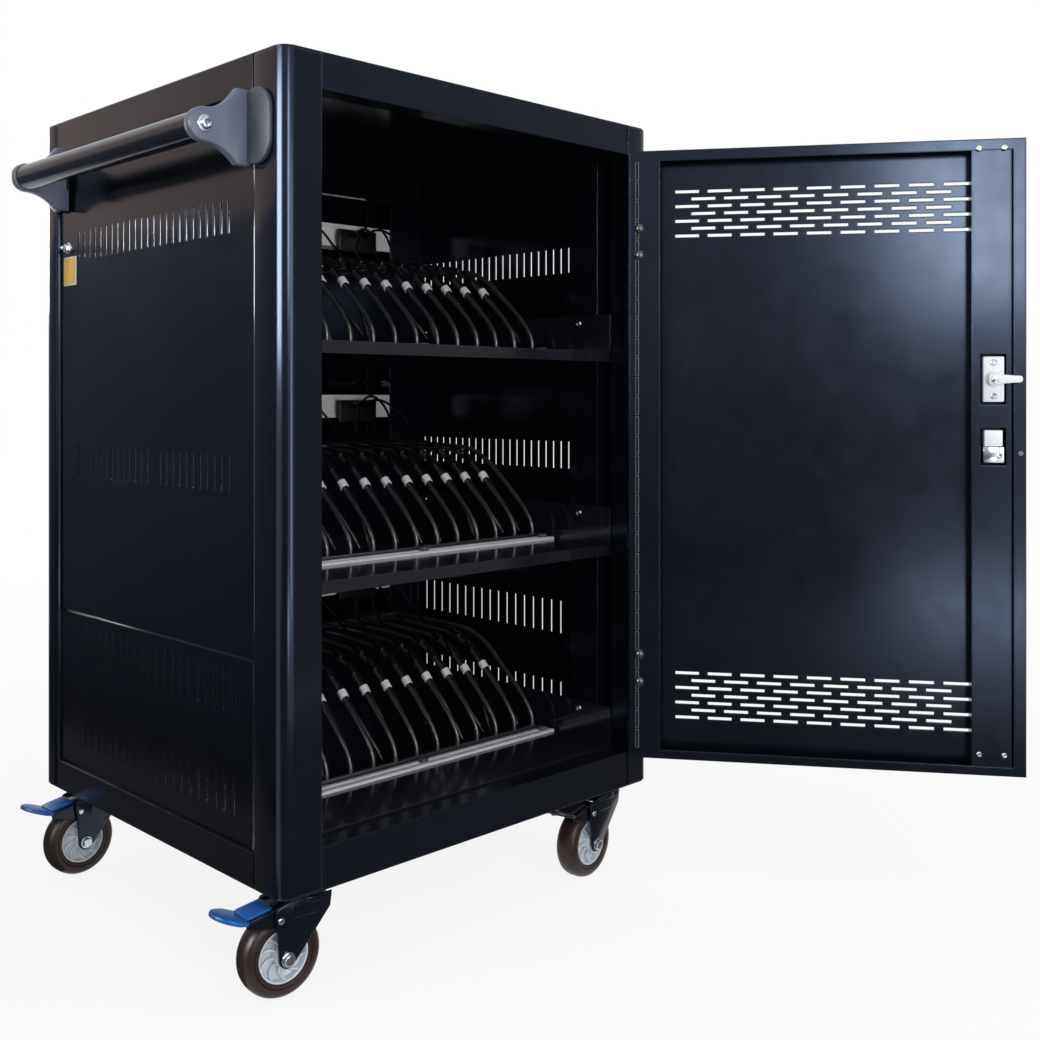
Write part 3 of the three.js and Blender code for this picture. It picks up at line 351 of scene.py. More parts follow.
def new_group(name: str, inputs: dict[str, str], outputs: dict[str, str]) -> bpy.types.NodeTree:
    """A shader node group with named sockets.

    Args:
        name: the group's name.
        inputs: socket types of its inputs by name.
        outputs: socket types of its outputs by name.
    Returns:
        The group, with a Group Input and a Group Output node.
    """
    tree = bpy.data.node_groups.new(name, "ShaderNodeTree")
    for label, kind in inputs.items():
        tree.interface.new_socket(name=label, in_out="INPUT", socket_type=kind)
    for label, kind in outputs.items():
        tree.interface.new_socket(name=label, in_out="OUTPUT", socket_type=kind)
    tree.nodes.new("NodeGroupInput")
    tree.nodes.new("NodeGroupOutput")
    return tree


def math_node(tree: bpy.types.NodeTree, operation: str, first, second=None) -> bpy.types.NodeSocket:
    """A Math node on sockets or numbers.

    Args:
        tree: where the node goes.
        operation: what it works out.
        first: its first socket or number.
        second: its second socket or number, if it has one.
    Returns:
        The result's socket.
    """
    node = tree.nodes.new("ShaderNodeMath")
    node.operation = operation
    for socket, value in zip(node.inputs, (first, second)):
        if isinstance(value, bpy.types.NodeSocket):
            tree.links.new(value, socket)
        elif value is not None:
            socket.default_value = value
    return node.outputs[0]


def noise(tree: bpy.types.NodeTree, vector: bpy.types.NodeSocket, scale, detail: float) -> bpy.types.NodeSocket:
    """A Noise texture's value.

    Args:
        tree: where the node goes.
        vector: the coordinates it reads.
        scale: its scale, a number or a socket.
        detail: its levels of detail.
    Returns:
        The value's socket.
    """
    node = tree.nodes.new("ShaderNodeTexNoise")
    node.inputs["Detail"].default_value = detail
    tree.links.new(vector, node.inputs["Vector"])
    if isinstance(scale, bpy.types.NodeSocket):
        tree.links.new(scale, node.inputs["Scale"])
    else:
        node.inputs["Scale"].default_value = scale
    return node.outputs[0]


class Effects:
    """The node groups that several finishes share."""

    VECTOR = "NodeSocketVector"
    FLOAT = "NodeSocketFloat"
    BROAD_SCALE = 9.0
    SMEAR_SCALE = 38.0

    def __init__(self) -> None:
        """Builds each group once."""
        self.grain = self._grain()
        self.wear = self._wear()
        self.dust = self._dust()

    def _grain(self) -> bpy.types.NodeTree:
        """The fine grain of a surface, and its slow change of tone."""
        tree = new_group(
            "surface_grain", {"Vector": self.VECTOR, "Scale": self.FLOAT},
            {"Tone": self.FLOAT, "Height": self.FLOAT},
        )
        given, made = tree.nodes["Group Input"], tree.nodes["Group Output"]
        vector = given.outputs["Vector"]
        broad = noise(tree, vector, self.BROAD_SCALE, 3.0)
        smear = noise(tree, vector, self.SMEAR_SCALE, 2.0)
        tone = math_node(tree, "MULTIPLY", math_node(tree, "ADD", broad, smear), 0.5)
        tree.links.new(tone, made.inputs["Tone"])
        tree.links.new(noise(tree, vector, given.outputs["Scale"], 2.0), made.inputs["Height"])
        return tree

    def _wear(self) -> bpy.types.NodeTree:
        """Where an edge is rubbed: a broken line along the edges of a piece."""
        tree = new_group(
            "edge_wear", {"Vector": self.VECTOR, "Radius": self.FLOAT, "Amount": self.FLOAT},
            {"Mask": self.FLOAT},
        )
        given, made = tree.nodes["Group Input"], tree.nodes["Group Output"]
        rounded = tree.nodes.new("ShaderNodeBevel")
        rounded.samples = 4
        tree.links.new(given.outputs["Radius"], rounded.inputs["Radius"])
        surface = tree.nodes.new("ShaderNodeNewGeometry")
        dot = tree.nodes.new("ShaderNodeVectorMath")
        dot.operation = "DOT_PRODUCT"
        tree.links.new(rounded.outputs["Normal"], dot.inputs[0])
        tree.links.new(surface.outputs["Normal"], dot.inputs[1])
        edge = math_node(tree, "MULTIPLY", math_node(tree, "SUBTRACT", 1.0, dot.outputs["Value"]), 5.0)
        broken = noise(tree, given.outputs["Vector"], 60.0, 4.0)
        rubbed = math_node(tree, "MULTIPLY", edge, broken)
        amount = math_node(tree, "MULTIPLY", rubbed, given.outputs["Amount"])
        tree.links.new(math_node(tree, "MINIMUM", amount, 1.0), made.inputs["Mask"])
        return tree

    def _dust(self) -> bpy.types.NodeTree:
        """Fine dust on faces that look up."""
        tree = new_group(
            "settled_dust", {"Vector": self.VECTOR, "Amount": self.FLOAT}, {"Mask": self.FLOAT}
        )
        given, made = tree.nodes["Group Input"], tree.nodes["Group Output"]
        surface = tree.nodes.new("ShaderNodeNewGeometry")
        parts = tree.nodes.new("ShaderNodeSeparateXYZ")
        tree.links.new(surface.outputs["Normal"], parts.inputs[0])
        up = math_node(tree, "MAXIMUM", parts.outputs["Z"], 0.0)
        patches = noise(tree, given.outputs["Vector"], 24.0, 5.0)
        lying = math_node(tree, "MULTIPLY", math_node(tree, "POWER", up, 3.0), patches)
        tree.links.new(math_node(tree, "MULTIPLY", lying, given.outputs["Amount"]), made.inputs["Mask"])
        return tree


EFFECTS = Effects()


@dataclass(frozen=True)
class Finish:
    """One finish of the cart: a Principled surface with grain, rubbed edges and dust."""

    name: str
    color: Color
    tone: Color
    roughness: float
    spread: float = 0.05
    metallic: float = 0.0
    specular: float = 0.5
    tint: Color = (1.0, 1.0, 1.0)
    grain_scale: float = 700.0
    grain_depth: float = 0.00003
    rounding: float = 0.0006
    wear: float = 0.0
    worn: Color = (0.3, 0.3, 0.32)
    dust: float = 0.0
    dusty: Color = (0.16, 0.15, 0.14)

    def _group(self, tree: bpy.types.NodeTree, group: bpy.types.NodeTree, **values: float) -> bpy.types.Node:
        """A shared effect in this finish's material, with its own values."""
        node = tree.nodes.new("ShaderNodeGroup")
        node.node_tree = group
        tree.links.new(tree.nodes["Texture Coordinate"].outputs["Object"], node.inputs["Vector"])
        for label, value in values.items():
            node.inputs[label].default_value = value
        return node

    @staticmethod
    def blend(tree: bpy.types.NodeTree, mask: bpy.types.NodeSocket, under, over: Color) -> bpy.types.NodeSocket:
        """A colour laid over another where a mask says."""
        node = tree.nodes.new("ShaderNodeMix")
        node.data_type = "RGBA"
        tree.links.new(mask, node.inputs["Factor"])
        if isinstance(under, bpy.types.NodeSocket):
            tree.links.new(under, node.inputs[6])
        else:
            node.inputs[6].default_value = (*under, 1.0)
        node.inputs[7].default_value = (*over, 1.0)
        return node.outputs[2]

    def material(self) -> bpy.types.Material:
        """The material of this finish, made at its first use."""
        known = bpy.data.materials.get(self.name)
        if known is not None:
            return known
        material = bpy.data.materials.new(self.name)
        material.use_nodes = True
        tree = material.node_tree
        surface = tree.nodes["Principled BSDF"]
        tree.nodes.new("ShaderNodeTexCoord")
        grain = self._group(tree, EFFECTS.grain, Scale=self.grain_scale)
        color = self.blend(tree, grain.outputs["Tone"], self.color, self.tone)
        low, high = self.roughness - self.spread, self.roughness + self.spread
        spread = tree.nodes.new("ShaderNodeMapRange")
        tree.links.new(grain.outputs["Tone"], spread.inputs["Value"])
        spread.inputs["From Min"].default_value = 0.3
        spread.inputs["From Max"].default_value = 0.7
        spread.inputs["To Min"].default_value = low
        spread.inputs["To Max"].default_value = high
        roughness = spread.outputs["Result"]
        if self.wear:
            wear = self._group(tree, EFFECTS.wear, Radius=2.0 * self.rounding, Amount=self.wear)
            color = self.blend(tree, wear.outputs["Mask"], color, self.worn)
        if self.dust:
            dust = self._group(tree, EFFECTS.dust, Amount=self.dust)
            color = self.blend(tree, dust.outputs["Mask"], color, self.dusty)
            roughness = math_node(tree, "ADD", roughness, math_node(tree, "MULTIPLY", dust.outputs["Mask"], 0.5))
        bump = tree.nodes.new("ShaderNodeBump")
        bump.inputs["Strength"].default_value = 0.6
        bump.inputs["Distance"].default_value = self.grain_depth
        tree.links.new(grain.outputs["Height"], bump.inputs["Height"])
        if self.rounding:
            rounded = tree.nodes.new("ShaderNodeBevel")
            rounded.samples = 4
            rounded.inputs["Radius"].default_value = self.rounding
            tree.links.new(rounded.outputs["Normal"], bump.inputs["Normal"])
        tree.links.new(color, surface.inputs["Base Color"])
        tree.links.new(roughness, surface.inputs["Roughness"])
        tree.links.new(bump.outputs["Normal"], surface.inputs["Normal"])
        surface.inputs["Metallic"].default_value = self.metallic
        surface.inputs["Specular IOR Level"].default_value = self.specular
        surface.inputs["Specular Tint"].default_value = (*self.tint, 1.0)
        return material


COOL = (0.54, 0.68, 1.0)
BLACK_PAINT = Finish(
    "black_powder_coat", (0.0022, 0.0027, 0.0048), (0.0045, 0.0055, 0.0085), 0.15, spread=0.03, specular=0.5,
    tint=COOL, grain_scale=420.0, grain_depth=0.00001, rounding=0.0018, wear=0.1, worn=(0.03, 0.034, 0.044),
    dust=0.03,
)
DOOR_PAINT = Finish(
    "door_powder_coat", (0.0022, 0.0027, 0.0048), (0.0042, 0.0052, 0.008), 0.2, spread=0.04, specular=0.5,
    tint=COOL, grain_scale=420.0, grain_depth=0.00001, rounding=0.0025, wear=0.1, worn=(0.03, 0.034, 0.044),
    dust=0.03,
)
SHELF_PAINT = Finish(
    "shelf_powder_coat", (0.006, 0.007, 0.0105), (0.009, 0.0105, 0.015), 0.12, spread=0.03, specular=0.55,
    grain_scale=420.0, grain_depth=0.000004, rounding=0.001, wear=0.2, worn=(0.05, 0.055, 0.07), dust=0.02,
)
WIRE_BLACK = Finish(
    "dipped_wire", (0.022, 0.022, 0.027), (0.036, 0.036, 0.042), 0.24, specular=1.0, grain_scale=300.0,
    grain_depth=0.00003, rounding=0.0, dust=0.05,
)
# Blue-grey: partly the plastic's own grey and partly painted sheen, paler than the black feet of the same brackets; it
# also draws the painted highlights round the hinge flange's slits.
GREY_AND_PAINTED_SHEEN = Finish(
    "grey_plastic_and_painted_sheen", (0.09, 0.11, 0.16), (0.115, 0.135, 0.19), 0.4, grain_scale=1500.0,
    grain_depth=0.00004, specular=0.5, rounding=0.0012, wear=0.2, worn=(0.22, 0.24, 0.28), dust=0.06,
)
BLACK_PLASTIC = Finish(
    "moulded_black_plastic", (0.03, 0.037, 0.055), (0.05, 0.06, 0.085), 0.46, grain_scale=1500.0,
    grain_depth=0.00004, specular=0.45, rounding=0.0008, wear=0.08, worn=(0.07, 0.08, 0.1), dust=0.08,
)
LEAD_BLACK = Finish(
    "lead_jacket", (0.0025, 0.0025, 0.003), (0.005, 0.005, 0.006), 0.32, grain_scale=900.0, rounding=0.0,
    specular=0.45, dust=0.06,
)
RAIL_METAL = Finish(
    "satin_aluminium", (0.68, 0.69, 0.75), (0.8, 0.81, 0.86), 0.34, metallic=0.1, grain_scale=900.0,
    grain_depth=0.00008, rounding=0.0004, wear=0.3, worn=(0.85, 0.86, 0.88), dust=0.06, dusty=(0.4, 0.4, 0.4),
)
ZINC = Finish(
    "bright_zinc", (0.5, 0.56, 0.63), (0.62, 0.67, 0.73), 0.17, metallic=1.0, grain_scale=420.0,
    grain_depth=0.00002, rounding=0.0003, spread=0.06,
)
LOCK_WHITE = Finish(
    "white_lacquer", (0.7, 0.73, 0.77), (0.78, 0.8, 0.83), 0.36, grain_scale=900.0, grain_depth=0.00002,
    rounding=0.0005, wear=0.12, worn=(0.55, 0.57, 0.6), dust=0.08,
)
STRIP_WHITE = Finish(
    "white_moulding", (0.78, 0.79, 0.81), (0.87, 0.88, 0.89), 0.4, grain_scale=1400.0, grain_depth=0.00003,
    rounding=0.0005, dust=0.1, wear=0.05, worn=(0.7, 0.7, 0.7),
)
TYRE_BROWN = Finish(
    "brown_tread", (0.02, 0.01, 0.008), (0.036, 0.02, 0.017), 0.36, spread=0.05, specular=0.3, grain_scale=700.0,
    grain_depth=0.00008, rounding=0.0, dust=0.05, dusty=(0.1, 0.075, 0.07),
)
HUB_GREY = Finish(
    "grey_nylon", (0.54, 0.58, 0.64), (0.64, 0.68, 0.74), 0.38, grain_scale=900.0, rounding=0.0004,
    dust=0.06, dusty=(0.3, 0.29, 0.28), wear=0.08, worn=(0.6, 0.64, 0.68),
)
PEDAL_BLUE = Finish(
    "blue_moulding", (0.001, 0.1, 0.38), (0.002, 0.125, 0.45), 0.4, specular=0.25, grain_scale=900.0,
    rounding=0.0006, dust=0.03, wear=0.1, worn=(0.02, 0.17, 0.48),
)
PEDAL_BLACK = Finish(
    "black_moulding", (0.008, 0.008, 0.01), (0.014, 0.014, 0.017), 0.42, grain_scale=900.0, rounding=0.0006,
    dust=0.12, wear=0.08, worn=(0.05, 0.05, 0.055),
)
LABEL_YELLOW = Finish(
    "yellow_label", (0.9, 0.58, 0.045), (0.95, 0.64, 0.07), 0.5, grain_scale=1500.0, grain_depth=0.00001,
    rounding=0.0, dust=0.05,
)
# Near-black for thin blocks that stand for slots: painted shade, where the inside of a slot lies in shadow.
PAINTED_SLOT_SHADE = Finish(
    "painted_slot_shade", (0.001, 0.001, 0.0012), (0.002, 0.002, 0.0025), 0.7, specular=0.15, rounding=0.0,
)
SLOT_FINISHES = {
    "black_paint": BLACK_PAINT,
    "door_black": DOOR_PAINT,
    "wire_black": WIRE_BLACK,
    "black_plastic": BLACK_PLASTIC,
    "rail_aluminium": RAIL_METAL,
    "zinc_steel": ZINC,
    "lock_white": LOCK_WHITE,
    "strip_white": STRIP_WHITE,
    "tyre_brown": TYRE_BROWN,
    "hub_grey": HUB_GREY,
    "pedal_blue": PEDAL_BLUE,
    "pedal_black": PEDAL_BLACK,
}


def make_piece(
    name: str, shape: Shape, place: Place, finish: Finish, body: str,
    replaces: Sequence[str] = (), sharp: float = 32.0,
) -> bpy.types.Object:
    """Turns a shape into a piece of the cart.

    Args:
        name: the piece's name.
        shape: its shape, which is used up.
        place: the frame the shape is drawn in.
        finish: its finish.
        body: the CAD body it rides on.
        replaces: the CAD nodes it stands for.
        sharp: edges that turn by more degrees than this stay sharp.
    Returns:
        The piece.
    """
    bm = shape.bm
    bmesh.ops.transform(bm, matrix=place.matrix(), verts=bm.verts)
    bmesh.ops.recalc_face_normals(bm, faces=bm.faces)
    mesh = bpy.data.meshes.new(name)
    bm.to_mesh(mesh)
    bm.free()
    mesh.polygons.foreach_set("use_smooth", [True] * len(mesh.polygons))
    mesh.set_sharp_from_angle(angle=math.radians(sharp))
    mesh.materials.append(finish.material())
    piece = bpy.data.objects.new(name, mesh)
    bpy.context.scene.collection.objects.link(piece)
    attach(piece, body)
    if replaces:
        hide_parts(*replaces)
    LOG.info("%s: %d faces on %s", name, len(mesh.polygons), body)
    return piece


# Where the drawing frames are

CABINET_HEIGHT = 890.0
CASTER_HEIGHT = 118.0
TOP_LOW, TOP_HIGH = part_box("top_cover")
CABINET = Place(Vector((TOP_LOW.x, TOP_LOW.y, TOP_HIGH.z - CABINET_HEIGHT * MM)))
FRONT_DOOR = Place(CABINET.at((548.85, -4.0, 0.0)), 305.0)
FRONT_POST = Place(CABINET.at((548.85, -4.0, 0.0)), 180.0)
REAR_DOOR = Place(CABINET.at((46.15, 574.0, 0.0)))


@dataclass
class CabinetShell:
    """The sheet-metal cabinet: its posts, and what is fixed on its outside."""

    width: float = 590.0
    depth: float = 570.0
    sheet: float = 1.5
    corner: float = 15.0
    fold: float = 4.0
    corner_steps: int = 10
    post_height: Span = (2.0, 888.0)
    jamb: float = 28.0
    panel_face: float = 4.0
    cover_low: float = 38.0
    cover_high: float = 242.0
    side_from: float = 57.0
    side_to: float = 535.0
    body: str = "cabinet"

    def _post(self, width: float, depth: float, flange: float, lip: float, right: bool, rear: bool) -> Shape:
        """One corner post, with its round corner and its folds."""
        path = [(38.5, depth + flange), (38.5, depth)]
        path += arc((self.fold, depth - self.fold), self.fold, (90.0, 180.0), 4)
        path += arc((self.corner, self.corner), self.corner, (180.0, 270.0), self.corner_steps)
        path += [(width, 0.0), (width, self.jamb)]
        if lip:
            path.append((width + lip, self.jamb))
        placed = [(self.width - x if right else x, self.depth - y if rear else y) for x, y in path]
        if right != rear:
            placed.reverse()
        return Shape().add(folded(placed, self.sheet, self.post_height))

    def posts(self) -> None:
        """The four corner posts, round where the CAD posts have facets."""
        layouts = {
            "front_left": (49.0, 57.0, 53.0, 15.0, False, False),
            "front_right": (40.0, 57.0, 53.0, 0.0, True, False),
            "rear_left": (45.0, 35.0, 63.5, 0.0, False, True),
            "rear_right": (45.0, 35.0, 63.5, 0.0, True, True),
        }
        for corner, layout in layouts.items():
            make_piece(
                f"{corner}_corner_post", self._post(*layout), CABINET, BLACK_PAINT, self.body,
                [f"{corner}_post"], 24.0,
            )

    def cover_edges(self) -> None:
        """The folded edge that stands round each lower service cover."""
        for side in Side:
            outer = self.panel_face if side is Side.LEFT else self.width - self.panel_face
            x = (outer - 1.2, outer) if side is Side.LEFT else (outer, outer + 1.2)
            ends = (self.side_from + 1.0, self.side_to - 1.0)
            shape = Shape()
            shape.add(block((x[0], ends[0], self.cover_high - 4.0), (x[1], ends[1], self.cover_high - 1.0), 0.5))
            for y in (ends[0], ends[1] - 3.0):
                shape.add(block((x[0], y, self.cover_low + 1.0), (x[1], y + 3.0, self.cover_high - 4.2), 0.5))
            make_piece(f"{side.value}_cover_edge", shape, CABINET, BLACK_PAINT, self.body)

    def earth_point(self) -> None:
        """The earth stud with its nut, and the blank label below it."""
        out = (-1.0, 0.0, 0.0)
        stud = Shape()
        stud.add(disc(8.0, 1.4, 0.5), facing((self.panel_face, 507.0, 721.0), out))
        stud.add(disc(5.6, 4.6, 0.8, 6), facing((self.panel_face - 1.4, 507.0, 721.0), out))
        stud.add(disc(2.8, 9.0, 0.9, 16), facing((self.panel_face - 1.4, 507.0, 721.0), out))
        make_piece("earth_stud", stud, CABINET, ZINC, self.body)
        backing = Shape().add(block((self.panel_face - 0.4, 485.5, 671.5), (self.panel_face, 522.5, 709.5), 0.15))
        make_piece("label_backing", backing, CABINET, STRIP_WHITE, self.body)
        label = Shape().add(block((self.panel_face - 0.7, 487.5, 673.5), (self.panel_face - 0.2, 520.5, 707.5), 0.15))
        make_piece("blank_label", label, CABINET, LABEL_YELLOW, self.body)

    def inlet_pins(self) -> None:
        """The three pins in the mains inlet's recess."""
        pins = Shape()
        for y, z in ((-4.6, 5.0), (-4.6, -5.0), (4.0, 0.0)):
            pins.add(block((566.2, 499.0 + y, 136.5 + z), (581.0, 501.0 + y, 143.5 + z), 0.4))
        make_piece("inlet_pins", pins, CABINET, ZINC, self.body)

    def build(self) -> None:
        """Builds every piece of the shell."""
        self.posts()
        self.cover_edges()
        self.earth_point()
        self.inlet_pins()


@dataclass
class ShelfBay:
    """One shelf's divider wires, with the leads, clips and chargers that serve it."""

    level: str
    top: float
    wire_count: int = 14
    first: float = 63.0
    pitch: float = 35.7
    wire_radius: float = 3.25
    lead_radius: float = 1.9
    foot: float = 160.0
    crest: float = 127.0
    rear: float = 466.5
    chargers_at: tuple[float, ...] = (143.0, 295.0, 447.0)
    charger_half: float = 36.0
    charger_front: float = 461.0
    body: str = "cabinet"

    def __post_init__(self) -> None:
        """Lists the places of the wires."""
        self.places = [self.first + self.pitch * i for i in range(self.wire_count)]

    def _lift(self, points: Sequence[Flat], x: float) -> list[Point]:
        """Points of a side view, as (place to the rear, height above the shelf), at a wire."""
        return [(x, y, self.top + z) for y, z in points]

    def wires(self) -> None:
        """The bent wires with their foot bar and rear bar."""
        side = [
            (self.foot, 0.2), (self.foot + 0.4, 18.0), (self.foot + 9.0, 34.0), (self.foot + 36.0, 61.0),
            (self.foot + 66.0, 86.0), (self.foot + 94.0, 108.0), (self.foot + 130.0, 123.5),
            (self.foot + 168.0, self.crest), (self.rear, self.crest),
        ]
        shape = Shape().add(tubes([self._lift(side, x) for x in self.places], self.wire_radius, 12, 6))
        ends = (self.places[0] - 7.0, self.places[-1] + 7.0)
        for y, z in ((self.foot, 3.5), (self.rear, self.crest)):
            low = (ends[0], y - 3.5, self.top + z - 3.4)
            shape.add(block(low, (ends[1], y + 3.5, self.top + z + 3.5), 1.2))
        make_piece(
            f"{self.level}_wire_dividers", shape, CABINET, WIRE_BLACK, self.body,
            [f"{self.level}_divider_wires"], 50.0,
        )

    def _charger(self, x: float) -> Point:
        """Where the lead of a wire leaves its charger."""
        nearest = min(self.chargers_at, key=lambda middle: abs(middle - x))
        return (nearest + 0.28 * (x - nearest), self.charger_front, self.top + 186.0)

    def leads(self) -> None:
        """A lead along each wire but the last: out of its charger, along its wire, to a loose tip."""
        routes, tips, shells = [], Shape(), Shape()
        for i, x in enumerate(self.places[:-1]):
            start = Vector(self._charger(x))
            beside = x + 3.4
            swing = 6.0 * math.sin(1.7 * i + self.top)
            droop = 5.0 * math.sin(2.3 * i + 0.4 * self.top)
            end = (beside + 5.0 + swing, 178.0 + droop, self.top + 30.0 - 0.6 * droop)
            routes.append([
                tuple(start),
                (start.x + 0.1 * (beside - start.x), 438.0, self.top + 197.0 + swing),
                (start.x + 0.5 * (beside - start.x), 408.0, self.top + 184.0 + swing),
                (beside - 2.0, 384.0, self.top + 152.0),
                (beside, 358.0, self.top + 134.0),
                (beside, 325.0, self.top + 131.4),
                (beside, 289.0, self.top + 127.8),
                (beside, 254.0, self.top + 113.0),
                (beside, 224.0, self.top + 89.0),
                (beside + 1.0, 203.0, self.top + 68.0),
                (beside + 2.0 + 0.5 * swing, 189.0 + 0.5 * droop, self.top + 50.0),
                end,
            ])
            aim = (Vector(end) - Vector(routes[-1][-2])).normalized()
            tips.add(disc(3.0, 15.0, 1.0, 12), facing(end, aim))
            tips.add(disc(1.5, 8.0, 0.5, 10), facing(Vector(end) + 15.0 * aim, aim))
            for y, z, length in ((291.0, 127.0, 16.0), (261.0, 115.5, 18.0)):
                slope = (0.0, -0.72, -0.69) if y < 279.0 else (0.0, -0.93, -0.36)
                shells.add(disc(4.9, length, 1.6, 14), facing((x + 1.4, y, self.top + z), slope))
        shape = Shape().add(tubes(routes, self.lead_radius, 8, 4))
        make_piece(f"{self.level}_leads", shape, CABINET, LEAD_BLACK, self.body, (), 50.0)
        make_piece(f"{self.level}_lead_tips", tips, CABINET, LEAD_BLACK, self.body)
        make_piece(f"{self.level}_lead_holders", shells, CABINET, LEAD_BLACK, self.body)

    def clips(self) -> None:
        """The white band round each wire that has a lead."""
        shape = Shape()
        profile = [(4.4, 0.0), (5.9, 0.0), (5.9, 11.0), (4.4, 11.0)]
        for x in self.places[:-1]:
            shape.add(turned(profile, 20), facing((x + 1.2, 228.5, self.top + 91.0), (0.0, -0.72, -0.69)))
        make_piece(f"{self.level}_lead_bands", shape, CABINET, STRIP_WHITE, self.body)

    def chargers(self) -> None:
        """The charger blocks that are plugged into the power strip."""
        shape = Shape()
        for middle in self.chargers_at:
            low = (middle - self.charger_half, self.charger_front, self.top + 162.0)
            shape.add(block(low, (middle + self.charger_half, 471.0, self.top + 197.0), 2.0, 3))
        make_piece(f"{self.level}_chargers", shape, CABINET, LEAD_BLACK, self.body)

    def shelf_screws(self) -> None:
        """The bright screws in the shelf's sides and the thumb screws on its rail."""
        bright, thumb = Shape(), Shape()
        for x, out in ((41.5, 1.0), (548.5, -1.0)):
            for y in (88.0, 420.0):
                bright.add(screw(4.6, 2.6), facing((x, y, self.top + 40.0), (out, 0.0, 0.0)))
        make_piece(f"{self.level}_shelf_screws", bright, CABINET, ZINC, self.body)
        ridges = 18
        for x in (60.0, 311.0, 531.0):
            head = disc(7.0, 4.0, 0.8, 2 * ridges)
            for vert in head.verts:
                turn = round(math.atan2(vert.co.y, vert.co.x) / math.pi * ridges)
                if turn % 2:
                    vert.co.xy *= 0.94
            thumb.add(head, facing((x, 144.0, self.top + 3.5), (0.0, 0.0, 1.0)))
        make_piece(f"{self.level}_thumb_screws", thumb, CABINET, BLACK_PLASTIC, self.body)

    def build(self) -> None:
        """Builds every piece of the bay."""
        self.wires()
        self.leads()
        self.clips()
        self.chargers()
        self.shelf_screws()


@dataclass
class PushHandle:
    """The push handle on the left side: a tube between two moulded brackets."""

    reach: float = 55.0
    height: float = 807.0
    radius: float = 16.0
    front: float = 60.0
    rear: float = 510.0
    cheek: float = 12.0
    nose: float = 18.0
    shoulder: float = 16.0
    waist: float = 33.0
    base_low: float = 770.0
    base_high: float = 851.0
    flange: float = 42.0
    flange_corner: float = 26.0
    body: str = "cabinet"

    def tube(self) -> None:
        """The painted tube."""
        profile = [(self.radius - 1.5, 0.0), (self.radius, 0.0), (self.radius, 426.0), (self.radius - 1.5, 426.0)]
        shape = Shape().add(
            turned(profile, 48), facing((-self.reach, self.front + self.cheek, self.height), (0.0, 1.0, 0.0))
        )
        make_piece("handle_bar", shape, CABINET, BLACK_PAINT, self.body, ["handle_tube"])

    def _flank(self, base: float, edge: float) -> list[Flat]:
        """One curved flank of a cheek, as (x, z) from the cabinet to the nose."""
        points = [(0.0, base)]
        for t in (i / 9 for i in range(10)):
            x = self.shoulder * (1 - t) ** 2 + 2 * self.waist * (1 - t) * t + self.reach * t * t
            points.append((-x, base * (1 - t) ** 2 + edge * (2 * (1 - t) * t + t * t)))
        return points

    def _cheek_outline(self) -> list[Flat]:
        """The fan-shaped cheek, as (x, z): narrow round the tube, wide on the cabinet."""
        low = self._flank(self.base_low, self.height - self.nose)
        high = self._flank(self.base_high, self.height + self.nose)
        cap = arc((-self.reach, self.height), self.nose, (270.0, 90.0), 14)[1:-1]
        return low + cap + high[::-1]

    def bracket(self, name: str, cheek_from: float, flange: Span, node: str) -> None:
        """One bracket: its cheek, and its flange with a round end.

        Args:
            name: the piece's name.
            cheek_from: where the cheek starts along the tube.
            flange: the flange's limits along the cabinet.
            node: the CAD node it stands for.
        """
        upright = Matrix(((1, 0, 0, 0), (0, 0, -1, cheek_from + self.cheek), (0, 1, 0, 0), (0, 0, 0, 1)))
        shape = Shape().add(plate(self._cheek_outline(), self.cheek, 1.6), upright)
        outline = rounded_outline(flange, (self.base_low, self.base_high), self.flange_corner, 10)
        on_side = Matrix(((0, 0, 1, -5.0), (1, 0, 0, 0), (0, 1, 0, 0), (0, 0, 0, 1)))
        # The cheek is a paler blue-grey than its own foot: partly the plastic's colour and partly a painted sheen where
        # light falls on its face.
        make_piece(name, shape, CABINET, GREY_AND_PAINTED_SHEEN, self.body, [node])
        foot = Shape().add(plate(outline, 5.0, 1.2), on_side)
        make_piece(f"{name}_foot", foot, CABINET, BLACK_PLASTIC, self.body)

    def bolts(self) -> None:
        """The bright bolt in each cheek and the two screws in the rear flange."""
        shape = Shape()
        for y, out in ((self.front, -1.0), (self.rear, 1.0)):
            shape.add(disc(9.0, 1.6, 0.6), facing((-self.reach, y, self.height), (0.0, out, 0.0)))
            shape.add(screw(6.6, 4.4), facing((-self.reach, y + 1.4 * out, self.height), (0.0, out, 0.0)))
        for y in (520.0, 534.0):
            shape.add(screw(4.0, 2.6), facing((-5.0, y, 780.0), (-1.0, 0.0, 0.0)))
        make_piece("handle_bolts", shape, CABINET, ZINC, self.body)

    def build(self) -> None:
        """Builds the tube, the brackets and their bolts."""
        self.tube()
        self.bracket(
            "handle_bracket_front", self.front, (self.front - self.flange, self.front + self.cheek),
            "handle_front_bracket",
        )
        self.bracket(
            "handle_bracket_rear", self.rear - self.cheek, (self.rear - self.cheek, self.rear + self.flange),
            "handle_rear_bracket",
        )
        self.bolts()


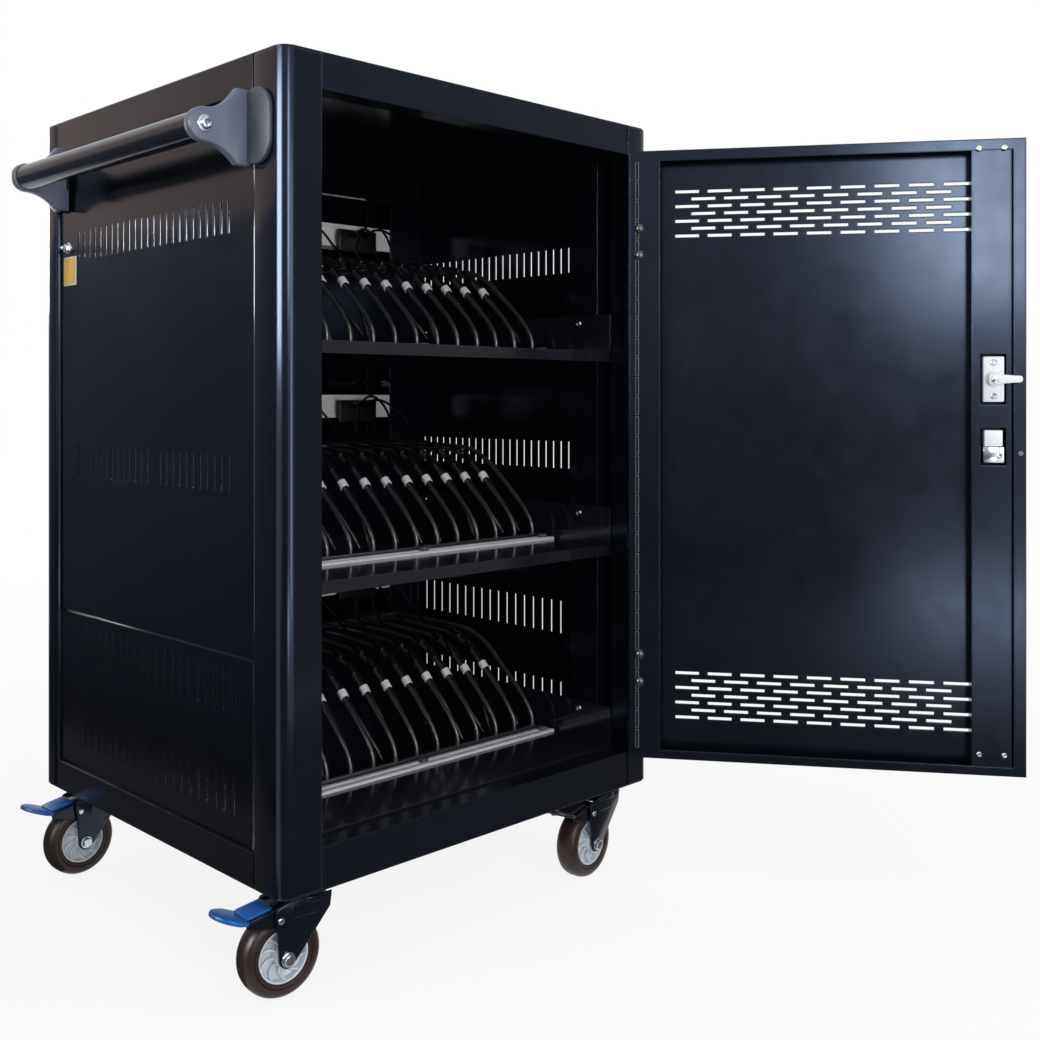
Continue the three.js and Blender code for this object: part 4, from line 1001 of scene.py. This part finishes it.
@dataclass
class PianoHinge:
    """A long hinge of many knuckles, which stands for the two leaves of a door's hinge."""

    door: str
    fixed_place: Place
    door_place: Place
    low: float = 48.0
    high: float = 848.0
    knuckles: int = 31
    radius: float = 4.0
    gap: float = 0.3

    def _leaf(self, first: int, plate_x: Span) -> Shape:
        """A leaf with every second knuckle."""
        shape = Shape().add(block((plate_x[0], -22.3, self.low), (plate_x[1], -4.3, self.high)))
        step = (self.high - self.low) / self.knuckles
        for i in range(first, self.knuckles, 2):
            z = self.low + i * step
            shape.add(disc(self.radius, step - self.gap, 0.3, 16), Matrix.Translation((0, 0, z + self.gap / 2)))
            shape.add(block((plate_x[0], -5.8, z + self.gap / 2), (plate_x[1], 0.0, z + step - self.gap / 2)))
        return shape

    def build(self) -> None:
        """Builds the leaf on the cabinet and the leaf on the door."""
        make_piece(
            f"{self.door}_hinge_post_leaf", self._leaf(0, (-1.15, -0.15)), self.fixed_place, BLACK_PAINT,
            "cabinet", [f"{self.door}_hinge_fixed_leaf"],
        )
        make_piece(
            f"{self.door}_hinge_leaf", self._leaf(1, (0.15, 1.15)), self.door_place, BLACK_PAINT,
            f"{self.door}_door", [f"{self.door}_hinge_door_leaf"],
        )


@dataclass
class FrontDoor:
    """The front door's inner fittings and its lock. Its x runs from the hinge, and its inner side looks to -y."""

    inner: float = -29.0
    channel_face: float = -27.2
    skin: float = -5.5
    lock_x: float = 459.0
    lock_z: float = 546.0
    body: str = "front_door"
    inward: Point = (0.0, -1.0, 0.0)
    outward: Point = (0.0, 1.0, 0.0)

    def flange_fittings(self) -> None:
        """The slits of the hinge flange, drawn as thin dark blocks painted as the shade in them, each on a paler grey
        block whose rim is a painted highlight on the slit's edges; its black dome screws and the grey bumper.
        """
        slits, rims = Shape(), Shape()
        for i in range(30):
            z = 62.0 + 25.8 * i
            # A pale grey block for the painted highlight round each slit, and a dark block for the painted shade in it.
            rims.add(block((9.7, self.inner - 0.25, z - 0.8), (14.5, self.inner + 0.3, z + 23.2), 0.15, 1))
            slits.add(block((10.6, self.inner - 0.45, z), (13.6, self.inner + 0.3, z + 22.4), 0.12, 1))
        make_piece("hinge_flange_slit_shades", slits, FRONT_DOOR, PAINTED_SLOT_SHADE, self.body)
        make_piece("hinge_flange_slit_highlights", rims, FRONT_DOOR, GREY_AND_PAINTED_SHEEN, self.body)
        domes = Shape()
        for z in (746.0, 711.0, 184.0, 148.0):
            profile = [(0.0, 4.4), (2.6, 4.1), (4.8, 3.1), (6.2, 1.6), (6.8, 0.0), (0.0, 0.0)]
            domes.add(turned(profile, 24, False), facing((15.0, self.inner, z), self.inward))
        make_piece("flange_dome_screws", domes, FRONT_DOOR, WIRE_BLACK, self.body)
        bumper = Shape().add(disc(3.4, 2.2, 0.9), facing((491.0, self.inner, 453.0), self.inward))
        make_piece("free_edge_bumper", bumper, FRONT_DOOR, GREY_AND_PAINTED_SHEEN, self.body)

    def channel_screws(self) -> None:
        """The bright screws that hold the lock channel, and those of the lock case."""
        shape = Shape()
        for x in (442.0, 472.0):
            shape.add(screw(4.0, 2.2), facing((x, self.inner, 836.5), self.inward))
            shape.add(screw(3.6, 2.2), facing((x, self.channel_face, 74.0), self.inward))
        for z in (self.lock_z - 21.0, self.lock_z + 21.0):
            shape.add(screw(4.2, 2.2), facing((self.lock_x, self.inner - 1.4, z), self.inward))
        shape.add(screw(3.6, 2.0), facing((self.lock_x + 7.0, self.inner - 1.5, 450.0), self.inward))
        make_piece("lock_channel_screws", shape, FRONT_DOOR, ZINC, self.body)

    def lock_case(self) -> None:
        """The white lock case with its bored boss."""
        x = (self.lock_x - 12.5, self.lock_x + 12.5)
        z = (self.lock_z - 28.5, self.lock_z + 28.5)
        shape = Shape().add(block((x[0], self.inner - 1.5, z[0]), (x[1], -5.8, z[1]), 1.2))
        boss = [(4.4, 0.0), (9.5, 0.0), (9.5, 2.6), (8.6, 3.4), (4.4, 3.4)]
        shape.add(turned(boss, 28), facing((self.lock_x, self.inner - 1.5, self.lock_z), self.inward))
        make_piece("lock_case_body", shape, FRONT_DOOR, LOCK_WHITE, self.body, ["lock_case"])

    def lock_cam(self) -> None:
        """The white cam on its spindle, which turns in the lock case."""
        outline = [
            (-7.5, -4.0), (-5.0, -7.0), (5.0, -6.2), (24.0, -4.4), (31.0, -4.2), (33.0, -2.0), (33.0, 2.0),
            (31.0, 4.2), (24.0, 4.4), (5.0, 6.2), (-5.0, 7.0), (-7.5, 4.0),
        ]
        flat = facing((self.lock_x, -35.5, self.lock_z), self.inward)
        upright = Matrix(((1, 0, 0, self.lock_x), (0, 0, 1, -38.5), (0, 1, 0, self.lock_z), (0, 0, 0, 1)))
        shape = Shape().add(plate(outline, 3.0, 0.7), upright)
        shape.add(disc(4.0, 43.0, 0.4, 20), facing((self.lock_x, -35.6, self.lock_z), self.outward))
        shape.add(block((self.lock_x - 5, 1.6, self.lock_z - 5), (self.lock_x + 5, 12.1, self.lock_z + 5), 0.8))
        pin = facing((self.lock_x - 12.0, 7.6, self.lock_z), (1.0, 0.0, 0.0))
        shape.add(disc(2.0, 24.0, 0.3, 16), pin)
        nut = Shape().add(disc(5.4, 2.8, 0.8, 6), flat @ Matrix.Translation((0, 0, 3.0)))
        make_piece("lock_cam_nut", nut, FRONT_DOOR, ZINC, "lock_cam")
        make_piece("lock_cam_tongue", shape, FRONT_DOOR, LOCK_WHITE, "lock_cam", ["lock_cam"])

    def lower_block(self) -> None:
        """The white block of the lower latch and its zinc bracket."""
        x = (self.lock_x - 12.5, self.lock_x + 12.5)
        white = Shape().add(block((x[0] + 1.5, self.inner, 461.5), (x[1] - 1.5, -5.8, 482.0), 1.2))
        make_piece(
            "lower_latch_square", white, FRONT_DOOR, LOCK_WHITE, self.body, ["lower_latch_block"]
        )
        zinc = Shape().add(block((x[0], self.inner - 1.5, 441.0), (x[1], -5.8, 461.0), 0.8))
        make_piece("lower_latch_bracket", zinc, FRONT_DOOR, ZINC, self.body)

    def outer_handle(self) -> None:
        """The escutcheon and the swing handle on the outside."""
        upright = Matrix(((1, 0, 0, self.lock_x), (0, 0, 1, -3.7), (0, 1, 0, self.lock_z), (0, 0, 0, 1)))
        outline = rounded_outline((-17.0, 17.0), (-125.0, 30.0), 12.0, 6)
        escutcheon = Shape().add(plate(outline, 5.0, 1.4), upright)
        make_piece(
            "handle_escutcheon", escutcheon, FRONT_DOOR, BLACK_PLASTIC, self.body,
            ["lock_escutcheon"],
        )
        side = [(7.6, 3.0), (12.4, 2.4), (13.6, -4.0), (13.4, -60.0), (10.0, -112.0), (1.8, -112.0), (1.6, -8.0)]
        lever = Shape()
        for x in (-12.0, 5.4):
            lever.add(plate([(y, z) for y, z in side], 6.6, 0.9), Matrix((
                (0, 0, 1, self.lock_x + x), (1, 0, 0, 0), (0, 1, 0, self.lock_z), (0, 0, 0, 1),
            )))
        lever.add(block(
            (self.lock_x - 5.5, 1.8, self.lock_z - 112.0), (self.lock_x + 5.5, 10.2, self.lock_z - 11.0), 0.9
        ))
        make_piece("swing_lever", lever, FRONT_DOOR, BLACK_PLASTIC, "swing_handle", ["swing_handle"])

    def build(self) -> None:
        """Builds every fitting of the front door."""
        PianoHinge("front", FRONT_POST, FRONT_DOOR).build()
        self.flange_fittings()
        self.channel_screws()
        self.lock_case()
        self.lock_cam()
        self.lower_block()
        self.outer_handle()


@dataclass
class RearDoor:
    """The rear door's hinge and key lock. Its x runs from the hinge, and its outer side looks to +y."""

    lock_x: float = 459.0
    lock_z: float = 546.0

    def key_lock(self) -> None:
        """The key lock: a turned barrel with a key slot, drawn as a thin dark block painted as the shade in the slot,
        and its cam.
        """
        outward = (0.0, 1.0, 0.0)
        base = facing((self.lock_x, -36.5, self.lock_z), outward)
        profile = [
            (0.0, 0.0), (9.0, 0.0), (9.0, 32.8), (13.0, 32.8), (13.0, 34.6), (11.8, 35.8), (9.2, 35.8),
            (8.8, 35.0), (0.0, 35.0),
        ]
        shape = Shape().add(turned(profile, 32, False), base)
        outline = rounded_outline((-8.0, 48.0), (-6.0, 6.0), 4.0, 5)
        shape.add(plate(outline, 3.0, 0.6), Matrix((
            (1, 0, 0, self.lock_x), (0, 0, 1, -36.5), (0, 1, 0, self.lock_z), (0, 0, 0, 1),
        )))
        make_piece("rear_lock_barrel", shape, REAR_DOOR, ZINC, "rear_key_lock", ["rear_key_lock"])
        # The key slot: a thin dark block, painted shade where the inside of the slot lies in shadow.
        slit = Shape().add(block(
            (self.lock_x - 0.8, -1.6, self.lock_z - 4.2), (self.lock_x + 0.8, -1.35, self.lock_z + 4.2)
        ))
        make_piece("rear_lock_key_slot_shade", slit, REAR_DOOR, PAINTED_SLOT_SHADE, "rear_key_lock")

    def build(self) -> None:
        """Builds the hinge and the lock."""
        PianoHinge("rear", REAR_DOOR, REAR_DOOR).build()
        self.key_lock()


@dataclass
class Caster:
    """One swivel caster with its brake. Its x runs along its trail, and its z is above the floor."""

    corner: str
    x: float
    y: float
    trail_turn: float
    pedal_finish: Finish
    pedal_slot: str
    trail: float = 31.0
    wheel: float = 46.0
    half_tread: float = 15.0
    hub: float = 29.0
    fork_inner: float = 20.0
    fork_wall: float = 3.0
    ribs: int = 10
    pivot: Flat = (39.0, 89.0)
    pedal_half: float = 19.4
    pedal_back: Flat = (34.0, 102.0)
    pedal_length: float = 44.0
    pedal_slope: float = 10.0
    toe_rise: float = 20.0
    toe_half: float = 23.4

    def __post_init__(self) -> None:
        """Works out the caster's frame and the bodies it rides on."""
        self.place = Place(CABINET.at((self.x, self.y, -CASTER_HEIGHT)), self.trail_turn)
        self.still = Place(self.place.origin)
        self.fork_body = f"{self.corner}_caster"
        self.wheel_body = f"{self.corner}_wheel"
        self.pedal_body = f"{self.corner}_pedal"
        self.axle = facing((self.trail, 0.0, self.wheel), (0.0, 1.0, 0.0))

    def plate(self) -> None:
        """The top plate with its race and its four bolts."""
        outline = rounded_outline((-42.0, 42.0), (-31.0, 31.0), 8.0, 5)
        shape = Shape().add(plate(outline, 3.0, 0.6), Matrix.Translation((0, 0, 115.0)))
        race = [(0.0, 115.5), (22.0, 115.5), (22.0, 111.0), (20.4, 107.0), (0.0, 107.0)]
        shape.add(turned(race, 40, False))
        make_piece(
            f"{self.corner}_plate", shape, self.still, BLACK_PAINT, "cabinet",
            [f"{self.corner}_caster_plate"],
        )
        bolts = Shape()
        for x in (-34.0, 34.0):
            for y in (-22.5, 22.5):
                bolts.add(disc(5.4, 4.0, 0.8, 6), facing((x, y, 115.0), (0.0, 0.0, -1.0)))
        make_piece(f"{self.corner}_plate_bolts", bolts, self.still, ZINC, "cabinet")

    def fork(self) -> None:
        """The pressed fork: a round crown, a hood round the swivel and two tapered legs."""
        outer = self.fork_inner + self.fork_wall
        leg = [
            (-22.0, 106.7), (-20.0, 90.7), *arc((self.trail, self.wheel), 10.0, (210.0, 360.0), 10),
            (43.0, 76.0), (46.0, 95.0), (42.0, 102.0), (26.0, 106.7),
        ]
        shape = Shape()
        for y in (-outer, self.fork_inner):
            side = Matrix(((1, 0, 0, 0), (0, 0, 1, y), (0, 1, 0, 0), (0, 0, 0, 1)))
            shape.add(plate(leg, self.fork_wall, 0.9), side)
        hood = [(24.0, -outer + 0.2), *arc((0.0, 0.0), outer - 0.2, (270.0, 90.0), 18), (24.0, outer - 0.2)]
        shape.add(folded(hood[::-1], 2.4, (88.0, 101.7)))
        crown = [(0.0, 106.7), (22.0, 106.7), (24.0, 104.9), (24.0, 100.5), (21.6, 98.7), (0.0, 98.7)]
        shape.add(turned(crown, 40, False))
        shape.add(block((-18.0, -outer + 0.5, 98.8), (26.0, outer - 0.5, 101.6), 0.6))
        make_piece(
            f"{self.corner}_fork", shape, self.place, BLACK_PAINT, self.fork_body,
            [f"{self.corner}_caster_fork"], 38.0,
        )
        bolt = Shape().add(disc(5.0, 2 * outer, 0.0, 16), self.axle @ Matrix.Translation((0, 0, -outer)))
        for out in (-1.0, 1.0):
            seat = facing((self.trail, out * outer, self.wheel), (0.0, out, 0.0))
            bolt.add(disc(7.8, 1.2, 0.4, 24), seat)
            bolt.add(disc(6.6, 4.4, 1.1, 6), seat @ Matrix.Translation((0, 0, 1.0)))
            rivet = facing((self.pivot[0], out * outer, self.pivot[1]), (0.0, out, 0.0))
            bolt.add(disc(3.6, 2.0, 1.1, 20), rivet)
        make_piece(f"{self.corner}_axle_bolt", bolt, self.place, ZINC, self.fork_body)

    def tyre(self) -> None:
        """The crowned tyre, with a band line on each side."""
        half, inner = self.half_tread, self.hub + 0.3
        right = [
            (inner, half - 2.6), (inner + 1.0, half - 1.2), (33.4, half - 0.6), (34.2, half - 1.5), (35.0, half - 0.5),
            (38.6, half - 0.6), (41.6, half - 1.8), (43.8, half - 4.2), (45.2, half - 7.4), (45.9, half - 11.0),
        ]
        profile = right + [(radius, -height) for radius, height in reversed(right)]
        shape = Shape().add(turned(profile, 72), self.axle)
        make_piece(
            f"{self.corner}_tyre", shape, self.place, TYRE_BROWN, self.wheel_body,
            [f"{self.corner}_wheel_tyre"], 40.0,
        )

    def hub_wheel(self) -> None:
        """The hub: a rim, a dished web, curved ribs and a bored boss."""
        rim = self.half_tread - 2.0
        right = [
            (5.3, 16.0), (10.0, 16.0), (11.0, 15.0), (11.0, 5.6), (14.6, 3.8), (23.4, 3.8), (25.8, 5.6),
            (26.8, rim - 0.6), (27.6, rim), (self.hub, rim),
        ]
        profile = right + [(radius, -height) for radius, height in reversed(right)]
        shape = Shape().add(turned(profile, 72), self.axle)
        for side in (-1.0, 1.0):
            for i in range(self.ribs):
                start = 2 * math.pi * i / self.ribs
                middle = [
                    (radius * math.cos(start + bend), radius * math.sin(start + bend), side * height)
                    for radius, bend, height in (
                        (10.5, 0.0, 10.5), (14.6, 0.07, 8.2), (19.4, 0.19, 7.2), (23.6, 0.33, 7.6), (27.0, 0.46, 9.8),
                    )
                ]
                shape.add(tubes([middle], 1.5, 8, 3), self.axle)
        make_piece(
            f"{self.corner}_hub", shape, self.place, HUB_GREY, self.wheel_body,
            [f"{self.corner}_wheel_hub"], 40.0,
        )

    def pedal(self) -> None:
        """The brake pedal: a pressed cradle on its pins, with a tread pad and a round toe."""
        half = self.pedal_half
        side = [self.pedal_back, (77.3, 94.4), (76.3, 87.0), (48.0, 80.0), (35.0, 81.0), (32.0, 93.0)]
        slope = Matrix.Translation((self.pedal_back[0], 0, self.pedal_back[1]))
        slope @= Matrix.Rotation(math.radians(self.pedal_slope), 4, "Y")
        cradle = Shape()
        for y in (-half, half - 2.0):
            wall = Matrix(((1, 0, 0, 0), (0, 0, 1, y), (0, 1, 0, 0), (0, 0, 0, 1)))
            cradle.add(plate(side, 2.0, 0.6), wall)
        cradle.add(block((0.0, -half, -2.8), (self.pedal_length, half, 0.0), 0.8), slope)
        cradle.add(disc(3.0, 45.2, 0.0, 16), facing((self.pivot[0], -22.6, self.pivot[1]), (0.0, 1.0, 0.0)))
        make_piece(
            f"{self.corner}_pedal_cradle", cradle, self.place, BLACK_PAINT, self.pedal_body,
            [f"{self.corner}_brake_pedal"],
        )
        pad = plate(rounded_outline((11.0, 42.0), (-15.4, 15.4), 4.0, 5), 3.2, 1.1)
        pads = Shape().add(pad, slope @ Matrix.Translation((0, 0, -0.2)))
        lobe = [(0.0, -half), (10.0, -self.toe_half), *[
            (10.0 + 26.0 * math.cos(math.radians(t)), self.toe_half * math.sin(math.radians(t)))
            for t in range(-80, 81, 10)
        ], (10.0, self.toe_half), (0.0, half)]
        rise = slope @ Matrix.Translation((self.pedal_length - 4.0, 0, 0))
        rise @= Matrix.Rotation(math.radians(-self.pedal_slope - self.toe_rise), 4, "Y")
        pads.add(plate(lobe, 5.2, 1.8), rise @ Matrix.Translation((0, 0, -5.0)))
        make_piece(
            f"{self.corner}_pedal_pads", pads, self.place, self.pedal_finish, self.pedal_body
        )

    def build(self) -> None:
        """Builds every piece of the caster."""
        self.plate()
        self.fork()
        self.tyre()
        self.hub_wheel()
        self.pedal()


@dataclass
class Studio:
    """The pale floor, the soft light and the camera at the photograph's place."""

    eye: Point = (-714.7, -1068.9, 523.3)
    forward: Point = (0.7039, 0.7103, 0.0)
    lens: float = 42.35
    sensor: float = 36.0
    shift_y: float = -0.118
    floor_size: float = 30.0
    floor_tone: float = 0.86
    floor_lift: float = 0.88
    floor_fade: Span = (0.8, 3.2)
    world_strength: float = 0.42

    @staticmethod
    def shown(tree: bpy.types.NodeTree) -> bpy.types.NodeSocket:
        """Whether a ray shows the backdrop: one from the camera, or one that metal or glass sends on."""
        path = tree.nodes.new("ShaderNodeLightPath")
        seen = math_node(tree, "MAXIMUM", path.outputs["Is Camera Ray"], path.outputs["Is Glossy Ray"])
        return math_node(tree, "MAXIMUM", seen, path.outputs["Is Transmission Ray"])

    def floor(self) -> None:
        """A plain pale floor that keeps the cart's shadow and turns white further off."""
        mesh = bpy.data.meshes.new("floor")
        bm = bmesh.new()
        bmesh.ops.create_grid(bm, x_segments=1, y_segments=1, size=self.floor_size / 2)
        bm.to_mesh(mesh)
        bm.free()
        material = bpy.data.materials.new("pale_floor")
        material.use_nodes = True
        tree = material.node_tree
        surface = tree.nodes["Principled BSDF"]
        surface.inputs["Base Color"].default_value = (self.floor_tone,) * 3 + (1.0,)
        surface.inputs["Roughness"].default_value = 0.9
        surface.inputs["Specular IOR Level"].default_value = 0.1
        glow = tree.nodes.new("ShaderNodeEmission")
        mix = tree.nodes.new("ShaderNodeMixShader")
        where = tree.nodes.new("ShaderNodeTexCoord")
        reach = tree.nodes.new("ShaderNodeVectorMath")
        reach.operation = "LENGTH"
        fade = tree.nodes.new("ShaderNodeMapRange")
        tree.links.new(where.outputs["Object"], reach.inputs[0])
        tree.links.new(reach.outputs["Value"], fade.inputs["Value"])
        fade.inputs["From Min"].default_value, fade.inputs["From Max"].default_value = self.floor_fade
        fade.inputs["To Min"].default_value = self.floor_lift
        lift = math_node(tree, "MULTIPLY", self.shown(tree), fade.outputs["Result"])
        tree.links.new(lift, mix.inputs["Fac"])
        tree.links.new(surface.outputs["BSDF"], mix.inputs[1])
        tree.links.new(glow.outputs["Emission"], mix.inputs[2])
        tree.links.new(mix.outputs["Shader"], tree.nodes["Material Output"].inputs["Surface"])
        mesh.materials.append(material)
        floor = bpy.data.objects.new("floor", mesh)
        bpy.context.scene.collection.objects.link(floor)

    def world(self) -> None:
        """A white surround for the camera and for reflections, and softer light from it."""
        world = bpy.data.worlds.new("studio")
        bpy.context.scene.world = world
        world.use_nodes = True
        tree = world.node_tree
        background = tree.nodes["Background"]
        background.inputs["Color"].default_value = (1.0, 1.0, 1.0, 1.0)
        strength = tree.nodes.new("ShaderNodeMapRange")
        tree.links.new(self.shown(tree), strength.inputs["Value"])
        strength.inputs["To Min"].default_value = self.world_strength
        tree.links.new(strength.outputs["Result"], background.inputs["Strength"])

    def lamp(self, name: str, at: Point, aim: Point, size: Flat, power: float, mirrored: bool) -> None:
        """A soft rectangular lamp, for the reflections or for the rest of the light.

        Args:
            name: the lamp's name.
            at: its place in the cabinet's frame.
            aim: the point it looks at.
            size: its width and height in metres.
            power: its power in watts.
            mirrored: whether it is the reflections that show it.
        """
        light = bpy.data.lights.new(name, "AREA")
        light.shape = "RECTANGLE"
        light.size, light.size_y = size
        light.energy = power
        lamp = bpy.data.objects.new(name, light)
        bpy.context.scene.collection.objects.link(lamp)
        lamp.visible_glossy, lamp.visible_diffuse = mirrored, not mirrored
        lamp.location = CABINET.at(at)
        lamp.rotation_mode = "QUATERNION"
        lamp.rotation_quaternion = (CABINET.at(aim) - CABINET.at(at)).to_track_quat("-Z", "Y")

    def card(self, name: str, ends: tuple[Flat, Flat], rise: Point, glow: tuple[Color, Color]) -> None:
        """A glowing card that only reflections see: it lights nothing and casts no shadow, and paints a reflection on
        the glossy parts.

        Args:
            name: the card's name.
            ends: its two ends on the floor, in the cabinet's frame.
            rise: the way from its edge on the floor to its other edge.
            glow: the colour of the painted reflection at its edge on the floor and at its other edge.
        """
        bm = bmesh.new()
        low = [bm.verts.new(CABINET.at((x, y, 0.5 - CASTER_HEIGHT))) for x, y in ends]
        made = bmesh.ops.extrude_edge_only(bm, edges=[bm.edges.new(low)])
        upper = [v for v in made["geom"] if isinstance(v, bmesh.types.BMVert)]
        bmesh.ops.translate(bm, vec=Vector(rise) * MM, verts=upper)
        mesh = bpy.data.meshes.new(name)
        bm.to_mesh(mesh)
        bm.free()
        material = bpy.data.materials.new(name)
        material.use_nodes = True
        tree = material.node_tree
        tree.nodes.clear()
        where = tree.nodes.new("ShaderNodeTexCoord")
        parts = tree.nodes.new("ShaderNodeSeparateXYZ")
        fade = tree.nodes.new("ShaderNodeMapRange")
        shine = tree.nodes.new("ShaderNodeEmission")
        out = tree.nodes.new("ShaderNodeOutputMaterial")
        tree.links.new(where.outputs["Object"], parts.inputs[0])
        tree.links.new(parts.outputs["Z"], fade.inputs["Value"])
        fade.inputs["From Max"].default_value = max(rise[2], 1.0) * MM
        blend = Finish.blend(tree, fade.outputs["Result"], *glow)
        tree.links.new(blend, shine.inputs["Color"])
        tree.links.new(shine.outputs["Emission"], out.inputs["Surface"])
        mesh.materials.append(material)
        card = bpy.data.objects.new(name, mesh)
        bpy.context.scene.collection.objects.link(card)
        card.visible_camera = card.visible_diffuse = card.visible_shadow = card.visible_transmission = False

    def camera(self) -> None:
        """The level camera, shifted down as the photograph's frame is."""
        data = bpy.data.cameras.new("camera")
        data.lens, data.sensor_width, data.shift_y = self.lens, self.sensor, self.shift_y
        camera = bpy.data.objects.new("camera", data)
        bpy.context.scene.collection.objects.link(camera)
        camera.location = CABINET.at(self.eye)
        camera.rotation_mode = "QUATERNION"
        camera.rotation_quaternion = Vector(self.forward).to_track_quat("-Z", "Y")
        bpy.context.scene.camera = camera

    def build(self) -> None:
        """Sets up the floor, the light and the camera."""
        bpy.context.scene.view_settings.view_transform = "Standard"
        self.floor()
        self.world()
        dim, grey = (0.14, 0.14, 0.14), (0.4, 0.4, 0.4)
        # Glowing cards that only reflections see paint the reflections on the glossy parts: dark ones that grow paler
        # towards the top, a warm one on the upper left side, and dark mats for the floor's reflection.
        self.card("left_card", ((-330.0, 250.0), (-330.0, 2200.0)), (0.0, 0.0, 930.0), ((0.01, 0.013, 0.02), (0.16, 0.18, 0.23)))
        self.card("warm_card", ((-345.0, 250.0), (-345.0, 2200.0)), (0.0, 0.0, 1290.0), ((0.5, 0.39, 0.35), (0.75, 0.58, 0.5)))
        self.card("front_card", ((500.0, -1200.0), (2300.0, -1200.0)), (0.0, 0.0, 1618.0), ((0.2, 0.2, 0.2), grey))
        self.card("camera_card", ((-2600.0, -700.0), (-1050.0, -2300.0)), (0.0, 0.0, 2218.0), ((0.05, 0.05, 0.05), (0.9, 0.9, 0.9)))
        self.card("left_mat", ((-330.0, 60.0), (0.0, 60.0)), (0.0, 2140.0, 0.0), ((0.02, 0.02, 0.02), dim))
        self.card("front_mat", ((-2600.0, -1100.0), (2300.0, -1100.0)), (0.0, 1080.0, 0.0), (dim, dim))
        self.card("camera_mat", ((-2600.0, -2300.0), (-700.0, -2300.0)), (0.0, 1200.0, 0.0), (dim, dim))
        aim = (300.0, 100.0, 420.0)
        self.lamp("upper_softbox", (-625.0, -1790.0, 1060.0), aim, (0.42, 0.56), 10.5, True)
        self.lamp("lower_softbox", (-640.0, -1830.0, -66.0), aim, (0.42, 0.1), 1.6, True)
        self.lamp("front_softbox", (150.0, -2300.0, 560.0), aim, (0.5, 1.35), 13.0, True)
        self.lamp("left_softbox", (-2000.0, 220.0, 1010.0), (0.0, 200.0, 500.0), (1.4, 0.75), 84.0, True)
        self.lamp("back_softbox", (-130.0, 2700.0, 1080.0), (0.0, 57.0, 700.0), (0.3, 0.6), 15.0, True)
        self.lamp("top_softbox", (300.0, -300.0, 2600.0), (300.0, 100.0, 0.0), (2.0, 2.0), 22.0, False)
        self.lamp("key_softbox", (-500.0, -2400.0, 850.0), aim, (1.6, 1.6), 32.0, False)
        self.camera()


def dress_cad_nodes() -> None:
    """Gives each CAD node the finish of its material slot."""
    for part in frame["record"]["subparts"]:
        materials = frame["nodes"][part["node"]].data.materials
        materials.clear()
        finish = SHELF_PAINT if part["node"].endswith("_shelf") else SLOT_FINISHES[part["material_slot"]]
        materials.append(finish.material())


def main() -> None:
    """Builds the cart's looks in order."""
    logging.basicConfig(level=logging.INFO, format="%(message)s")
    dress_cad_nodes()
    CabinetShell().build()
    for level, top in (("lower", 49.0), ("middle", 322.0), ("upper", 586.0)):
        ShelfBay(level, top).build()
    PushHandle().build()
    FrontDoor().build()
    RearDoor().build()
    Caster("front_left", 56.0, 43.0, 173.5, PEDAL_BLUE, "pedal_blue").build()
    Caster("front_right", 534.0, 43.0, 186.5, PEDAL_BLACK, "pedal_black").build()
    Caster("rear_left", 56.0, 527.0, 182.0, PEDAL_BLUE, "pedal_blue").build()
    Caster("rear_right", 534.0, 527.0, 175.0, PEDAL_BLACK, "pedal_black").build()
    Studio().build()


if __name__ == "__main__":
    main()
